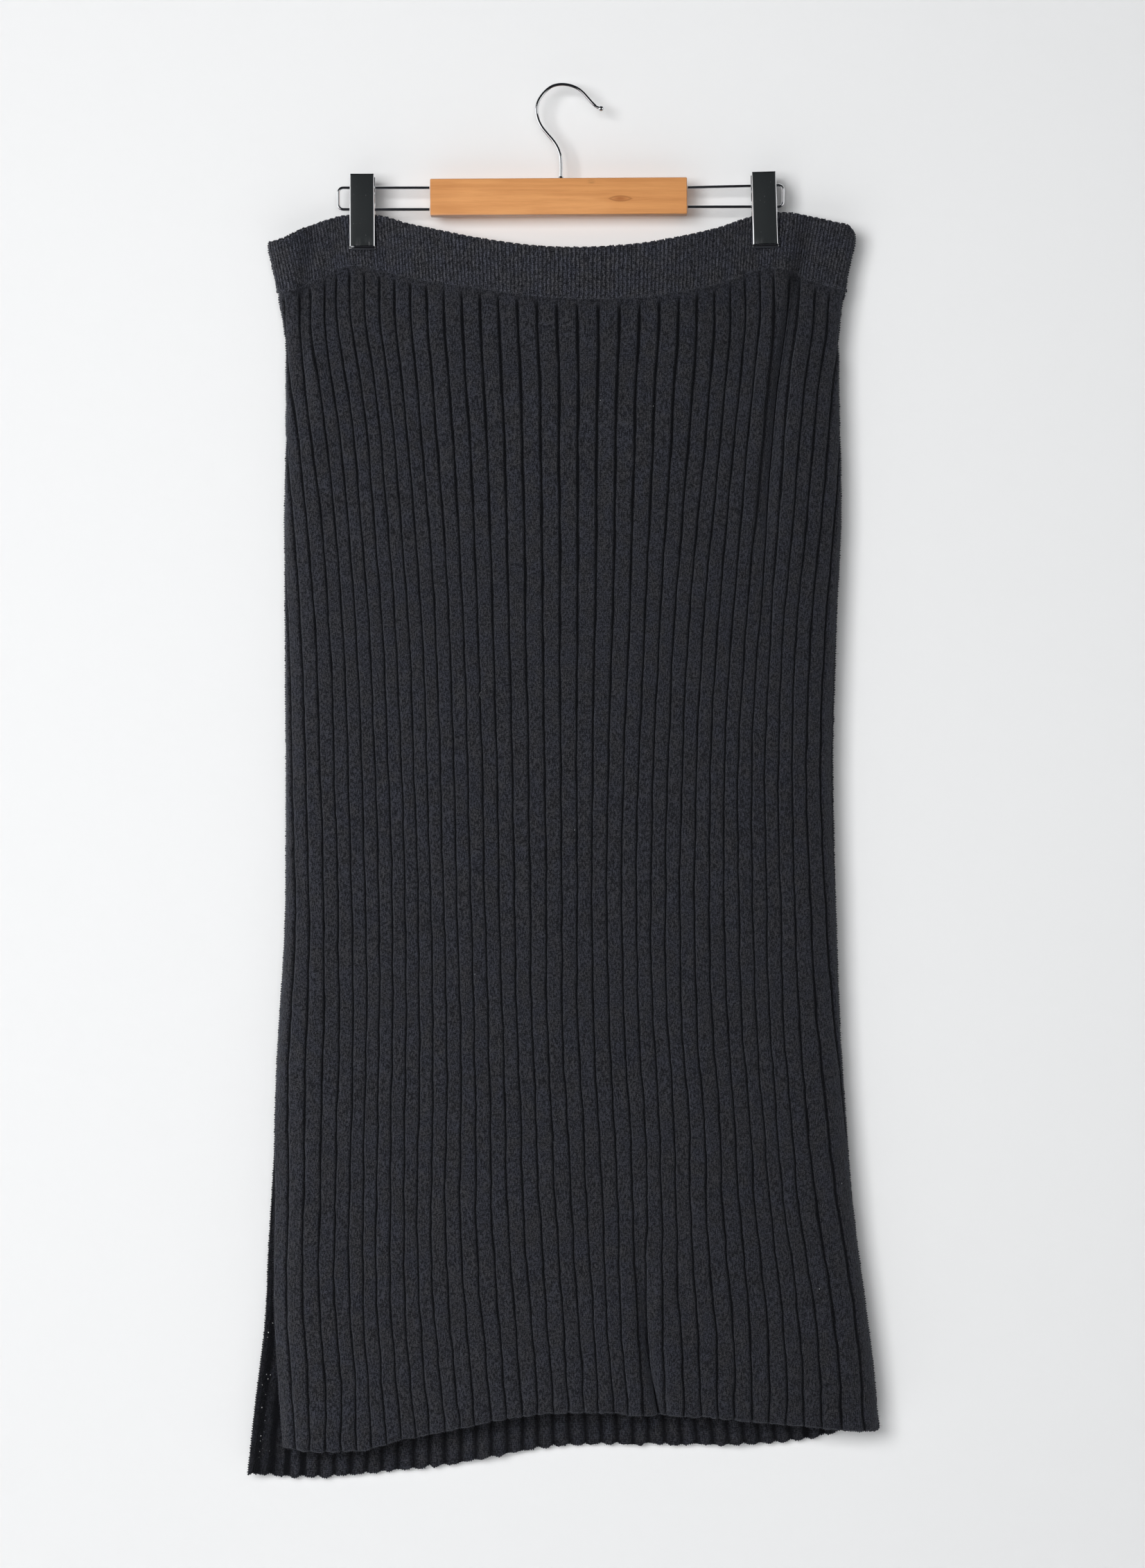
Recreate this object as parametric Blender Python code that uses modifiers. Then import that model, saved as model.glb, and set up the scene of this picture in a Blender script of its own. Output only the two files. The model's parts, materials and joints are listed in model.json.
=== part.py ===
"""Midi skirt on a clip hanger.

A hollow rib knit tube hangs from two clips. Each course of the knit is a flattened loop seen
from above. The ribs are raised in the wall's outer points, over a plain inside.
Lengths are in millimetres until a mesh is made. The origin is the inside top of the hook,
+Z is up and the front of the skirt faces -Y.
"""

import math

import bmesh
import bpy
import numpy as np
from mathutils import Matrix, Vector

MM = 0.001
GAP = 0.3

# Knit walls
RIBS = 39
FINE_RIBS = 96
GROOVE_WALL = 1.3
CROWN_WALL = 2.8
FINE_GROOVE_WALL = 1.2
FINE_CROWN_WALL = 2.1
FOLD_WALL = 2.2
SHOULDERS = (0.22, 0.78)
RIB_PITCH = 10.3
HEM_SCALLOP = 1.4
TOP_SCALLOP = 0.6

# The skirt's course number runs from 0 at the waistband seam to 1 at the hem, and to -1 at the
# top of the waistband.
SLIT_START = 0.658
BODY_LENGTH = 820.0
BAND_LENGTH = 37.0
BODY_ROWS = (0.0, 0.025, 0.06, 0.105, 0.16, 0.23, 0.32, 0.42, 0.54, SLIT_START, 0.74, 0.82, 0.89, 0.95, 1.0)
BAND_ROWS = (0.0, -0.35, -0.7, -1.0)

# A row for each measured course: its number, the left and right folds, and the grooves at every
# fourth rib, all as seen from the front.
GROOVES_AT = (4, 8, 12, 16, 20, 24, 28, 32, 36)
SECTIONS = (
    (-1.00, -212.5, 214.0, -196.0, -157.0, -111.2, -60.4, -3.4, 57.3, 111.5, 157.2, 203.0),
    (-0.50, -208.0, 209.0, -192.5, -155.0, -109.9, -59.6, -3.4, 56.8, 110.6, 155.6, 198.0),
    (0.00, -204.2, 204.4, -189.4, -152.9, -108.6, -58.8, -3.5, 56.3, 109.7, 153.9, 193.4),
    (0.04, -198.6, 199.8, -188.1, -152.2, -107.7, -57.7, -2.6, 55.6, 109.6, 153.3, 190.3),
    (0.08, -198.0, 199.4, -184.2, -146.9, -104.4, -56.1, -1.5, 53.4, 107.3, 149.9, 185.3),
    (0.13, -198.0, 200.3, -179.0, -140.7, -101.1, -53.6, -1.7, 52.6, 103.9, 145.5, 181.4),
    (0.20, -199.0, 201.0, -172.5, -135.7, -96.0, -51.4, -1.0, 51.0, 98.6, 140.5, 176.5),
    (0.30, -198.5, 197.7, -166.2, -129.0, -90.5, -49.1, -1.0, 48.6, 91.5, 133.4, 168.9),
    (0.42, -198.0, 195.0, -162.8, -124.4, -87.0, -46.2, -0.4, 44.7, 87.1, 127.2, 165.6),
    (0.54, -198.5, 197.3, -160.2, -121.3, -84.5, -44.7, 0.5, 43.3, 85.1, 127.2, 167.7),
    (0.66, -204.5, 200.8, -159.7, -121.3, -82.0, -42.0, 0.9, 45.5, 86.9, 130.1, 171.6),
    (0.74, -207.4, 205.3, -161.4, -122.2, -82.4, -40.1, 4.4, 49.2, 91.7, 135.2, 177.4),
    (0.81, -211.4, 210.2, -162.7, -122.8, -83.2, -38.8, 7.0, 51.1, 92.8, 138.8, 183.7),
    (0.88, -214.6, 217.6, -162.0, -122.4, -81.4, -35.5, 10.4, 52.2, 95.2, 145.1, 192.6),
    (0.94, -221.1, 224.0, -158.3, -119.3, -77.3, -31.4, 13.6, 54.7, 99.0, 148.6, 199.0),
    (1.00, -227.0, 229.0, -157.4, -114.7, -72.9, -27.8, 16.4, 59.2, 99.9, 149.0, 201.2),
)
# The front panel's free edge in the slit: course, x.
SLIT_EDGE = ((0.658, -201.5), (0.74, -204.1), (0.82, -206.0), (0.88, -206.1), (0.94, -203.6), (1.0, -200.2))

# Heights along the ribs, counted round the skirt: front from the left seam to the right seam,
# back from the right seam to the left seam. Columns: rib, band top, seam, slit level, hem.
FRONT_HEIGHTS = (
    (0, -101.0, -139.5, -698.0, -981.5),
    (3, -112.5, -149.0, -697.5, -982.8),
    (5, -103.5, -143.0, -694.0, -982.0),
    (8, -94.3, -130.2, -685.6, -974.3),
    (10, -95.3, -133.4, -684.4, -970.2),
    (12, -99.4, -139.4, -683.2, -965.9),
    (16, -110.4, -147.7, -680.3, -957.2),
    (20, -117.0, -154.3, -680.8, -954.5),
    (24, -114.3, -154.1, -682.1, -956.6),
    (28, -103.1, -144.4, -679.7, -957.9),
    (32, -90.8, -131.5, -678.1, -962.2),
    (35, -97.5, -143.0, -684.0, -966.0),
    (36, -100.8, -145.7, -685.8, -967.3),
    (37, -106.5, -148.0, -687.5, -968.5),
    (39, -99.0, -142.0, -688.1, -969.0),
)
BACK_HEIGHTS = (
    (0, -99.0, -142.0, -688.1, -969.0),
    (3.6, -91.5, -131.5, -688.0, -978.5),
    (8, -103.0, -144.0, -688.5, -982.3),
    (13, -114.0, -153.0, -689.0, -982.5),
    (20, -116.8, -154.0, -692.0, -984.5),
    (26, -110.8, -148.3, -695.0, -996.5),
    (31, -101.0, -140.0, -696.5, -1003.2),
    (35, -94.3, -130.5, -697.5, -1006.4),
    (39, -101.0, -139.5, -698.0, -1003.0),
)

# How far the walls stand from the middle plane: course, front, back.
FULLNESS = (
    (-1.0, 10.0, 7.0),
    (0.0, 10.5, 8.0),
    (0.1, 11.5, 9.0),
    (0.3, 12.0, 10.0),
    (0.66, 13.0, 11.5),
    (1.0, 16.0, 15.0),
)
FOLD_LENGTH = ((-1.0, 20.0), (0.0, 24.0), (0.2, 30.0), (1.0, 36.0))
FRONT_EDGE_SHARE = 0.30
BACK_EDGE_SHARE = 0.35
SLIT_OPENS_OVER = 0.14

# Clips: where they pinch the waistband, and how the cloth spreads from them.
CLIPS_AT = (-143.4, 146.6)
PINCH_HALF = 10.5
PINCH_SPREAD = 62.0
PINCH_BOTTOM = -0.35
PINCH_DROP = 75.0

# Soft troughs in the front: half width, then rows of course, x and share of the fullness.
TROUGHS = (
    (8.0, ((-1.0, 178.0, 0.45), (0.006, 172.5, 0.6), (0.054, 165.0, 0.5), (0.1, 155.5, 0.4), (0.2, 147.5, 0.2), (0.3, 146.0, 0.0))),
    (8.0, ((-1.0, -182.0, 0.3), (0.0, -186.0, 0.35), (0.06, -186.0, 0.15), (0.12, -186.0, 0.0))),
    (9.0, ((0.78, 60.0, 0.0), (0.9, 61.0, 0.22), (1.0, 62.5, 0.38))),
)

# Hanger
BLOCK = (185.0, 12.0, 26.3)
BLOCK_CENTRE = (-2.0, 0.0, -80.2)
BLOCK_TILT = 0.35
WIRE = 2.2
LOOP_CORNER = 3.6
# For each side: outward direction, block end, loop end, upper run at block and end, lower run.
LOOPS = {
    "left": (-1, -94.9, -161.0, -73.2, -73.2, -88.8, -88.8),
    "right": (1, 90.9, 159.9, -73.0, -71.3, -87.0, -86.8),
}
HOOK_WIRE = 2.6
HOOK_PATH = (
    (-0.4, -66.7),
    (-0.4, -54.7),
    (-0.9, -49.8),
    (-2.9, -44.1),
    (-6.0, -39.2),
    (-9.9, -34.7),
    (-14.1, -29.4),
    (-16.6, -24.5),
    (-17.8, -19.6),
    (-17.8, -15.4),
    (-16.6, -10.8),
    (-14.1, -6.6),
    (-10.6, -2.75),
    (-6.4, 0.05),
    (-2.2, 1.2),
    (2.2, 1.3),
    (7.2, 0.3),
    (11.8, -1.7),
    (15.0, -4.1),
    (18.9, -8.3),
    (23.4, -13.2),
    (25.9, -15.2),
    (28.0, -15.9),
)
HOOK_TIP = (28.6, -16.1)
HOOK_TIP_RADIUS = 2.1
FERRULE = (1.65, 2.4, 1.6)

# Clip jaws: side profile in distance from the middle plane and height, relative to the clip.
CLIP_TOP_WIDTH = 17.3
CLIP_FOOT_WIDTH = 18.9
CLIP_HEIGHT = 54.6
JAW_FOOT_OUT = 6.4
JAW_LEAN = 3.2 / CLIP_HEIGHT
JAW_PLATE = 2.2
TRAY_DEPTH = 1.1
COVER_HALF_WIDTH = 8.05
PAD_INSIDE = 2.75
PAD_HEIGHT = 15.0
SLEEVE = (1.45, 3.0, 15.0)
# Place of each clip: centre, height of its foot, turn in degrees.
CLIPS = {"left": (-143.4, -118.9, 0.0), "right": (147.2, -117.4, -1.8)}


def clear_scene():
    for item in list(bpy.data.objects):
        bpy.data.objects.remove(item)


def collection(name):
    made = bpy.data.collections.new(name)
    bpy.context.scene.collection.children.link(made)
    return made


def material(name, colour, roughness, metallic=0.0):
    made = bpy.data.materials.new(name)
    made.use_nodes = True
    shader = made.node_tree.nodes["Principled BSDF"]
    shader.inputs["Base Color"].default_value = (*colour, 1.0)
    shader.inputs["Roughness"].default_value = roughness
    shader.inputs["Metallic"].default_value = metallic
    return made


def smooth(low, high, x):
    share = np.clip((x - low) / (high - low), 0.0, 1.0)
    return share * share * (3.0 - 2.0 * share)


def table(rows, column, x):
    """A smooth curve through one column of a table, by its first column."""
    xs = np.array([row[0] for row in rows], float)
    ys = np.array([row[column] for row in rows], float)
    return through(xs, ys, x)


def through(xs, ys, x):
    slopes = np.gradient(ys, xs)
    x = np.clip(np.asarray(x, float), xs[0], xs[-1])
    i = np.clip(np.searchsorted(xs, x, side="right") - 1, 0, len(xs) - 2)
    width = xs[i + 1] - xs[i]
    u = (x - xs[i]) / width
    near = (1 + 2 * u) * (1 - u) ** 2 * ys[i] + u * (1 - u) ** 2 * width * slopes[i]
    far = u * u * (3 - 2 * u) * ys[i + 1] + u * u * (u - 1) * width * slopes[i + 1]
    return near + far


class Course:
    """One course seen from above: the inside of the wall, with arc lengths along it."""

    def __init__(self, number):
        self.number = number
        self.open = float(smooth(0.0, SLIT_OPENS_OVER, number - SLIT_START))
        inset = FOLD_WALL if number > 0 else FINE_GROOVE_WALL
        left = float(table(SECTIONS, 1, number)) + inset * (1 - 0.7 * self.open)
        right = float(table(SECTIONS, 2, number)) - inset
        front_left = left
        if number > SLIT_START:
            front_left = (1 - self.open) * left + self.open * float(table(SLIT_EDGE, 1, number))
        turn = (1 - np.cos(np.linspace(0, math.pi, 700))) / 2
        self.front = self.half(front_left + (right - front_left) * turn, front_left, right, -1)
        self.back = self.half(left + (right - left) * turn, left, right, 1)
        self.front_length = self.front[2][-1]
        self.back_length = self.back[2][-1]
        self.ribs = self.rib_lines()

    def half(self, x, left, right, side):
        y = side * self.depth(x, left, right, side)
        steps = np.hypot(np.diff(x), np.diff(y))
        return x, y, np.concatenate([[0.0], np.cumsum(steps)])

    def depth(self, x, left, right, side):
        """Distance of the inside of a wall from the middle plane."""
        number = self.number
        full = float(table(FULLNESS, 1 if side < 0 else 2, number))
        fold = float(table(FOLD_LENGTH, 1, number))
        low = min((number - PINCH_BOTTOM) * BAND_LENGTH, 0.0)
        below = max(number * BODY_LENGTH, 0.0) + max(min(number, 0.0) - PINCH_BOTTOM, 0.0) * BAND_LENGTH
        hold = 1.0 if low < 0 else math.exp(-((below / PINCH_DROP) ** 1.5))
        for clip in CLIPS_AT:
            away = np.abs(x - clip)
            full = full * (1 - hold * (1 - smooth(PINCH_HALF, PINCH_HALF + PINCH_SPREAD, away)))
        if side < 0:
            for half_width, rows in TROUGHS:
                if rows[0][0] <= number <= rows[-1][0]:
                    at = np.interp(number, [r[0] for r in rows], [r[1] for r in rows])
                    share = np.interp(number, [r[0] for r in rows], [r[2] for r in rows])
                    full = full * (1 - share * np.exp(-(((x - at) / half_width) ** 2)))
        near_left = np.clip((x - left) / fold, 0, 1)
        near_right = np.clip((right - x) / fold, 0, 1)
        round_left = np.sqrt(1 - (1 - near_left) ** 2)
        round_right = np.sqrt(1 - (1 - near_right) ** 2)
        edge = FRONT_EDGE_SHARE if side < 0 else BACK_EDGE_SHARE
        free_left = edge + (1 - edge) * np.sin(near_left * math.pi / 2)
        cap = (1 - self.open) * round_left + self.open * free_left
        return GAP / 2 + full * cap * round_right

    def rib_lines(self):
        """Arc length of each groove of the front panel from its left seam to its right seam."""
        x, _, arc = self.front
        seen = np.interp([table(SECTIONS, 3 + k, self.number) for k in range(len(GROOVES_AT))], x, arc)
        first = float(seen[0]) - 4 * RIB_PITCH
        if self.number > SLIT_START - 0.01:
            first = 0.0
        first = min(first, 0.0) if self.number > 0.25 else first
        last = float(seen[-1]) + 3 * RIB_PITCH
        at = np.concatenate([[0], GROOVES_AT, [RIBS]])
        arcs = np.concatenate([[first], seen, [last]])
        return at, arcs

    def front_arc(self, rib):
        return float(through(self.ribs[0].astype(float), self.ribs[1], rib))

    def ends(self):
        """Arc lengths of the left seam and the right seam, and of the left seam reached round the back."""
        first, last = float(self.ribs[1][0]), float(self.ribs[1][-1])
        round_back = self.front_length + self.back_length + first
        return first, last, round_back

    def back_arc(self, rib):
        _, start, stop = self.ends()
        return start + (stop - start) * rib / RIBS

    def point(self, arc):
        if arc < 0:
            x, y, along = self.back
            at = -arc
        elif arc <= self.front_length:
            x, y, along = self.front
            at = arc
        else:
            x, y, along = self.back
            at = self.back_length - (arc - self.front_length)
        return np.array([np.interp(at, along, x), np.interp(at, along, y)])

    def outward(self, arc, low, high):
        step = 0.5
        a = self.point(max(arc - step, low))
        b = self.point(min(arc + step, high))
        along = (b - a) / np.linalg.norm(b - a)
        return np.array([along[1], -along[0]])


def height(rows, rib, number):
    """Height of a course at a rib: straight runs between the band top, seam, slit level and hem."""
    top, seam, level, hem = (float(table(rows, column, rib)) for column in (1, 2, 3, 4))
    return float(np.interp(number, [-1.0, 0.0, SLIT_START, 1.0], [top, seam, level, hem]))


def wall(rib, ribs, groove, crown):
    """Wall thickness at a place counted in ribs."""
    phase = (rib * ribs / RIBS) % 1.0
    return groove if phase < 0.01 or phase > 0.99 else crown


def wall_points(courses, rows, columns, side, ribs, groove, crown):
    """The outer and inner points of a wall, course by course."""
    outer, inner = [], []
    for course in courses:
        first, last, round_back = course.ends()
        low, high = (first, last) if side == "front" else (last, round_back)
        if course.open > 0 and side == "front":
            low = 0.0
        if course.open > 0 and side == "back":
            high = course.front_length + course.back_length
        arc_at = course.front_arc if side == "front" else course.back_arc
        pair = []
        for places, is_outer in zip(columns, (True, False)):
            line = []
            for rib in places:
                arc = min(max(arc_at(rib), low + GAP / 2), high - GAP / 2)
                spot = course.point(arc)
                if is_outer:
                    out = course.outward(arc, low, high)
                    spot = spot + out * wall(rib, ribs, groove, crown)
                up = height(rows, rib, course.number)
                line.append([spot[0], spot[1], up])
            pair.append(line)
        outer.append(pair[0])
        inner.append(pair[1])
    return np.array(outer), np.array(inner)


def zip_rim(a, a_at, b, b_at):
    """Triangles between two rows of points that run side by side."""
    faces = []
    i = j = 0
    while i < len(a) - 1 or j < len(b) - 1:
        step_a = i < len(a) - 1 and (j == len(b) - 1 or a_at[i + 1] <= b_at[j + 1])
        if step_a:
            faces.append((a[i], a[i + 1], b[j]))
            i += 1
        else:
            faces.append((a[i], b[j + 1], b[j]))
            j += 1
    return faces


def add_mesh(name, points, faces, look, group):
    mesh = bpy.data.meshes.new(name)
    mesh.from_pydata([tuple(p * MM for p in point) for point in points], [], faces)
    work = bmesh.new()
    work.from_mesh(mesh)
    bmesh.ops.recalc_face_normals(work, faces=work.faces)
    work.to_mesh(mesh)
    work.free()
    mesh.materials.append(look)
    made = bpy.data.objects.new(name, mesh)
    group.objects.link(made)
    return made


def knit_wall(name, outer, inner, columns, look, group):
    """Closes the outer and inner points of a wall into one body."""
    rows, out_count, in_count = len(outer), len(columns[0]), len(columns[1])
    points = [*outer.reshape(-1, 3), *inner.reshape(-1, 3)]
    base = rows * out_count
    faces = []
    for r in range(rows - 1):
        for k in range(out_count - 1):
            a = r * out_count + k
            faces.append((a, a + 1, a + out_count + 1, a + out_count))
        for k in range(in_count - 1):
            a = base + r * in_count + k
            faces.append((a, a + in_count, a + in_count + 1, a + 1))
        a, b = r * out_count, base + r * in_count
        faces.append((a, a + out_count, b + in_count, b))
        a, b = a + out_count - 1, b + in_count - 1
        faces.append((a, b, b + in_count, a + out_count))
    for r in (0, rows - 1):
        out_row = [r * out_count + k for k in range(out_count)]
        in_row = [base + r * in_count + k for k in range(in_count)]
        faces += zip_rim(out_row, columns[0], in_row, columns[1])
    return add_mesh(name, points, faces, look, group)


def panel(side, rows, look, group):
    """A body panel with wide flat ribs and narrow grooves."""
    outer_at = [r + phase for r in range(RIBS) for phase in (0.0, *SHOULDERS)] + [float(RIBS)]
    round_fold = {r for r in range(RIBS) if r < 5 or r > RIBS - 6}
    inner_at = sorted({float(r) for r in range(RIBS + 1)} | {r + 0.5 for r in round_fold})
    courses = [Course(number) for number in BODY_ROWS]
    columns = (outer_at, inner_at)
    outer, inner = wall_points(courses, rows, columns, side, RIBS, GROOVE_WALL, CROWN_WALL)
    outer[0, :, 2] -= 0.25
    inner[0, :, 2] -= 0.25
    outer[-1, ::3, 2] += HEM_SCALLOP
    return knit_wall(f"{side}_panel", outer, inner, columns, look, group)


def waistband(side, rows, look, group):
    """Half of the waistband, with fine ribs."""
    fine = RIBS / FINE_RIBS
    outer_at = [k * fine / 2 for k in range(2 * FINE_RIBS + 1)]
    inner_at = [k * fine * 2 for k in range(FINE_RIBS // 2 + 1)]
    courses = [Course(number) for number in BAND_ROWS]
    columns = (outer_at, inner_at)
    outer, inner = wall_points(courses, rows, columns, side, FINE_RIBS, FINE_GROOVE_WALL, FINE_CROWN_WALL)
    outer[0, :, 2] += 0.25
    inner[0, :, 2] += 0.25
    outer[-1, ::2, 2] -= TOP_SCALLOP
    return knit_wall(f"waistband_{side}", outer, inner, columns, look, group)


def prism(name, outline, half_width, look, group, place=None):
    """A side profile of distance and height points, drawn out along X. The half width may vary with height."""
    points = [(s * half_width(z), y, z) for s in (-1, 1) for y, z in outline]
    n = len(outline)
    faces = [tuple(range(n)), tuple(range(2 * n - 1, n - 1, -1))]
    faces += [(k, (k + 1) % n, n + (k + 1) % n, n + k) for k in range(n)]
    made = add_mesh(name, points, faces, look, group)
    if place is not None:
        made.data.transform(place)
    return made


def tube(name, inner_radius, outer_radius, length, place, look, group, cutters):
    """A cylinder with a hole along its axis."""
    bpy.ops.mesh.primitive_cylinder_add(vertices=20, radius=outer_radius * MM, depth=length * MM)
    made = bpy.context.object
    bpy.ops.mesh.primitive_cylinder_add(vertices=20, radius=inner_radius * MM, depth=length * 3 * MM)
    hole = bpy.context.object
    for item in (made, hole):
        item.data.transform(place)
    settle(made, name, look, group)
    cut(made, hole, cutters)
    return made


def settle(item, name, look, group):
    for holder in list(item.users_collection):
        holder.objects.unlink(item)
    item.name = name
    item.data.name = name
    item.data.materials.clear()
    item.data.materials.append(look)
    group.objects.link(item)


def cut(item, cutter, cutters):
    for holder in list(cutter.users_collection):
        holder.objects.unlink(cutter)
    cutters.objects.link(cutter)
    cutter.name = f"{item.name}_cutter"
    cutter.hide_render = True
    cutter.display_type = "WIRE"
    step = item.modifiers.new("cut", "BOOLEAN")
    step.operation = "DIFFERENCE"
    step.solver = "EXACT"
    step.object = cutter


def wire(name, path, diameter, look, group):
    """A round wire along a path of points, with closed ends."""
    curve = bpy.data.curves.new(name, "CURVE")
    curve.dimensions = "3D"
    curve.bevel_depth = diameter / 2 * MM
    curve.bevel_resolution = 2
    curve.use_fill_caps = True
    line = curve.splines.new("POLY")
    line.points.add(len(path) - 1)
    for point, spot in zip(line.points, path):
        point.co = (*(v * MM for v in spot), 1.0)
    drawn = bpy.data.objects.new(name, curve)
    group.objects.link(drawn)
    mesh = bpy.data.meshes.new_from_object(drawn)
    bpy.data.objects.remove(drawn)
    work = bmesh.new()
    work.from_mesh(mesh)
    bmesh.ops.remove_doubles(work, verts=work.verts, dist=1e-6)
    work.to_mesh(mesh)
    work.free()
    mesh.materials.clear()
    mesh.materials.append(look)
    made = bpy.data.objects.new(name, mesh)
    group.objects.link(made)
    return made


def loop_path(side):
    """A wire loop out of the block's end: upper run, two round corners, lower run."""
    out, start, end, up_in, up_out, low_in, low_out = LOOPS[side]
    r = LOOP_CORNER
    path = [(start + out * GAP, 0.0, up_in)]
    for k in range(6):
        turn = math.pi / 2 * k / 5
        path.append((end - out * r + out * r * math.sin(turn), 0.0, up_out - r + r * math.cos(turn)))
    for k in range(6):
        turn = math.pi / 2 * k / 5
        path.append((end - out * r + out * r * math.cos(turn), 0.0, low_out + r - r * math.sin(turn)))
    path.append((start + out * GAP, 0.0, low_in))
    return path


def block(looks, group):
    bpy.ops.mesh.primitive_cube_add(size=1.0)
    made = bpy.context.object
    made.data.transform(Matrix.Diagonal((*(v * MM for v in BLOCK), 1.0)))
    made.data.transform(Matrix.Rotation(math.radians(-BLOCK_TILT), 4, "Y"))
    made.data.transform(Matrix.Translation(Vector(BLOCK_CENTRE) * MM))
    settle(made, "hanger_block", looks["wood"], group)
    rounding = made.modifiers.new("edges", "BEVEL")
    rounding.width = 0.8 * MM
    rounding.segments = 2


def hook(looks, group, cutters):
    made = wire("hook", [(x, 0.0, z) for x, z in HOOK_PATH], HOOK_WIRE, looks["chrome"], group)
    bpy.ops.mesh.primitive_uv_sphere_add(segments=14, ring_count=8, radius=HOOK_TIP_RADIUS * MM)
    tip = bpy.context.object
    tip.data.transform(Matrix.Translation((HOOK_TIP[0] * MM, 0.0, HOOK_TIP[1] * MM)))
    cut(made, tip, cutters)
    made.modifiers["cut"].operation = "UNION"
    inner_radius, outer_radius, length = FERRULE
    stand = HOOK_PATH[0][1] + length / 2
    place = Matrix.Translation((HOOK_PATH[0][0] * MM, 0.0, stand * MM))
    tube("hook_ferrule", inner_radius, outer_radius, length, place, looks["chrome"], group, cutters)


def clip(side, looks, group, cutters):
    """Two sprung jaws on a sleeve round the lower wire, with covers outside and grip pads inside."""
    centre, foot, turn = CLIPS[side]
    top = foot + CLIP_HEIGHT
    place = Matrix.Translation((centre * MM, 0.0, foot * MM))
    place = place @ Matrix.Rotation(math.radians(turn), 4, "Y") @ Matrix.Translation((0.0, 0.0, -foot * MM))

    def out(z):
        return JAW_FOOT_OUT + (z - foot) * JAW_LEAN

    def half_width(z):
        share = (z - foot) / CLIP_HEIGHT
        return (CLIP_FOOT_WIDTH + (CLIP_TOP_WIDTH - CLIP_FOOT_WIDTH) * share) / 2

    lower_wire = LOOPS[side][6]
    knuckle = SLEEVE[1] + GAP
    lip = foot + 2.5
    jaw = (
        (out(top), top),
        (out(lip), lip),
        (out(foot) - 1.2, foot),
        (out(foot) - JAW_PLATE - 0.4, foot),
        (out(foot) - JAW_PLATE, lip),
        (out(lower_wire - 5) - JAW_PLATE, lower_wire - 5),
        (knuckle, lower_wire - 3),
        (knuckle, lower_wire + 3),
        (out(lower_wire + 5) - JAW_PLATE, lower_wire + 5),
        (out(top) - JAW_PLATE, top),
    )
    tray_top, tray_foot = top - 0.7, lip + 0.4
    tray = (
        (out(tray_top) + 2, tray_top),
        (out(tray_foot) + 2, tray_foot),
        (out(tray_foot) - TRAY_DEPTH, tray_foot),
        (out(tray_top) - TRAY_DEPTH, tray_top),
    )
    cover_top, cover_foot = tray_top - GAP, tray_foot + GAP
    cover = (
        (out(cover_top) + 0.1, cover_top),
        (out(cover_foot) + 0.1, cover_foot),
        (out(cover_foot) - TRAY_DEPTH + GAP, cover_foot),
        (out(cover_top) - TRAY_DEPTH + GAP, cover_top),
    )
    pad_foot, pad_top = lip, lip + PAD_HEIGHT
    pad = (
        (out(pad_top) - JAW_PLATE - GAP, pad_top),
        (out(pad_foot) - JAW_PLATE - GAP, pad_foot),
        (PAD_INSIDE, pad_foot),
        (PAD_INSIDE, pad_top),
    )
    for face, sign in (("front", -1), ("back", 1)):
        def turned(profile):
            return [(sign * y, z) for y, z in profile]

        steel = prism(f"clip_{side}_jaw_{face}", turned(jaw), half_width, looks["chrome"], group, place)
        cutter = prism("tray", turned(tray), lambda z: COVER_HALF_WIDTH + GAP, looks["chrome"], cutters, place)
        cut(steel, cutter, cutters)
        prism(f"clip_{side}_cover_{face}", turned(cover), lambda z: COVER_HALF_WIDTH, looks["black"], group, place)
        prism(f"clip_{side}_pad_{face}", turned(pad), lambda z: half_width(z) - 0.8, looks["rubber"], group, place)
    inner_radius, outer_radius, length = SLEEVE
    axis = Matrix.Rotation(math.radians(90), 4, "Y")
    spot = Matrix.Translation((centre * MM, 0.0, lower_wire * MM))
    tube(f"clip_{side}_sleeve", inner_radius, outer_radius, length, spot @ axis, looks["chrome"], group, cutters)


def main():
    clear_scene()
    group = collection("midi_skirt_on_clip_hanger")
    cutters = collection("cutters")
    looks = {
        "knit": material("knit", (0.035, 0.037, 0.045), 0.95),
        "wood": material("wood", (0.60, 0.31, 0.12), 0.5),
        "chrome": material("chrome", (0.85, 0.86, 0.88), 0.12, 1.0),
        "black": material("black", (0.02, 0.022, 0.022), 0.3),
        "rubber": material("rubber", (0.10, 0.11, 0.12), 0.7),
    }
    panel("front", FRONT_HEIGHTS, looks["knit"], group)
    panel("back", BACK_HEIGHTS, looks["knit"], group)
    waistband("front", FRONT_HEIGHTS, looks["knit"], group)
    waistband("back", BACK_HEIGHTS, looks["knit"], group)
    block(looks, group)
    hook(looks, group, cutters)
    for side in ("left", "right"):
        wire(f"hanger_wire_{side}", loop_path(side), WIRE, looks["chrome"], group)
        clip(side, looks, group, cutters)


main()
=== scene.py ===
"""Midi skirt on a clip hanger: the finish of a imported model.

The knit is made again as fine shells on the solids' form, with rounded ribs, a fluted hem, looped
edges and fuzz. The hanger gets smooth wires, bent clips and grained wood.
Sizes in the tables are millimetres. The origin is the inside top of the hook, +Z is up and the
front of the skirt faces -Y.
"""

import json
import math
from collections import defaultdict

import bmesh
import bpy
import numpy as np
from bpy.props import FloatProperty, FloatVectorProperty, IntProperty, PointerProperty
from mathutils import Matrix, Vector

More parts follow.
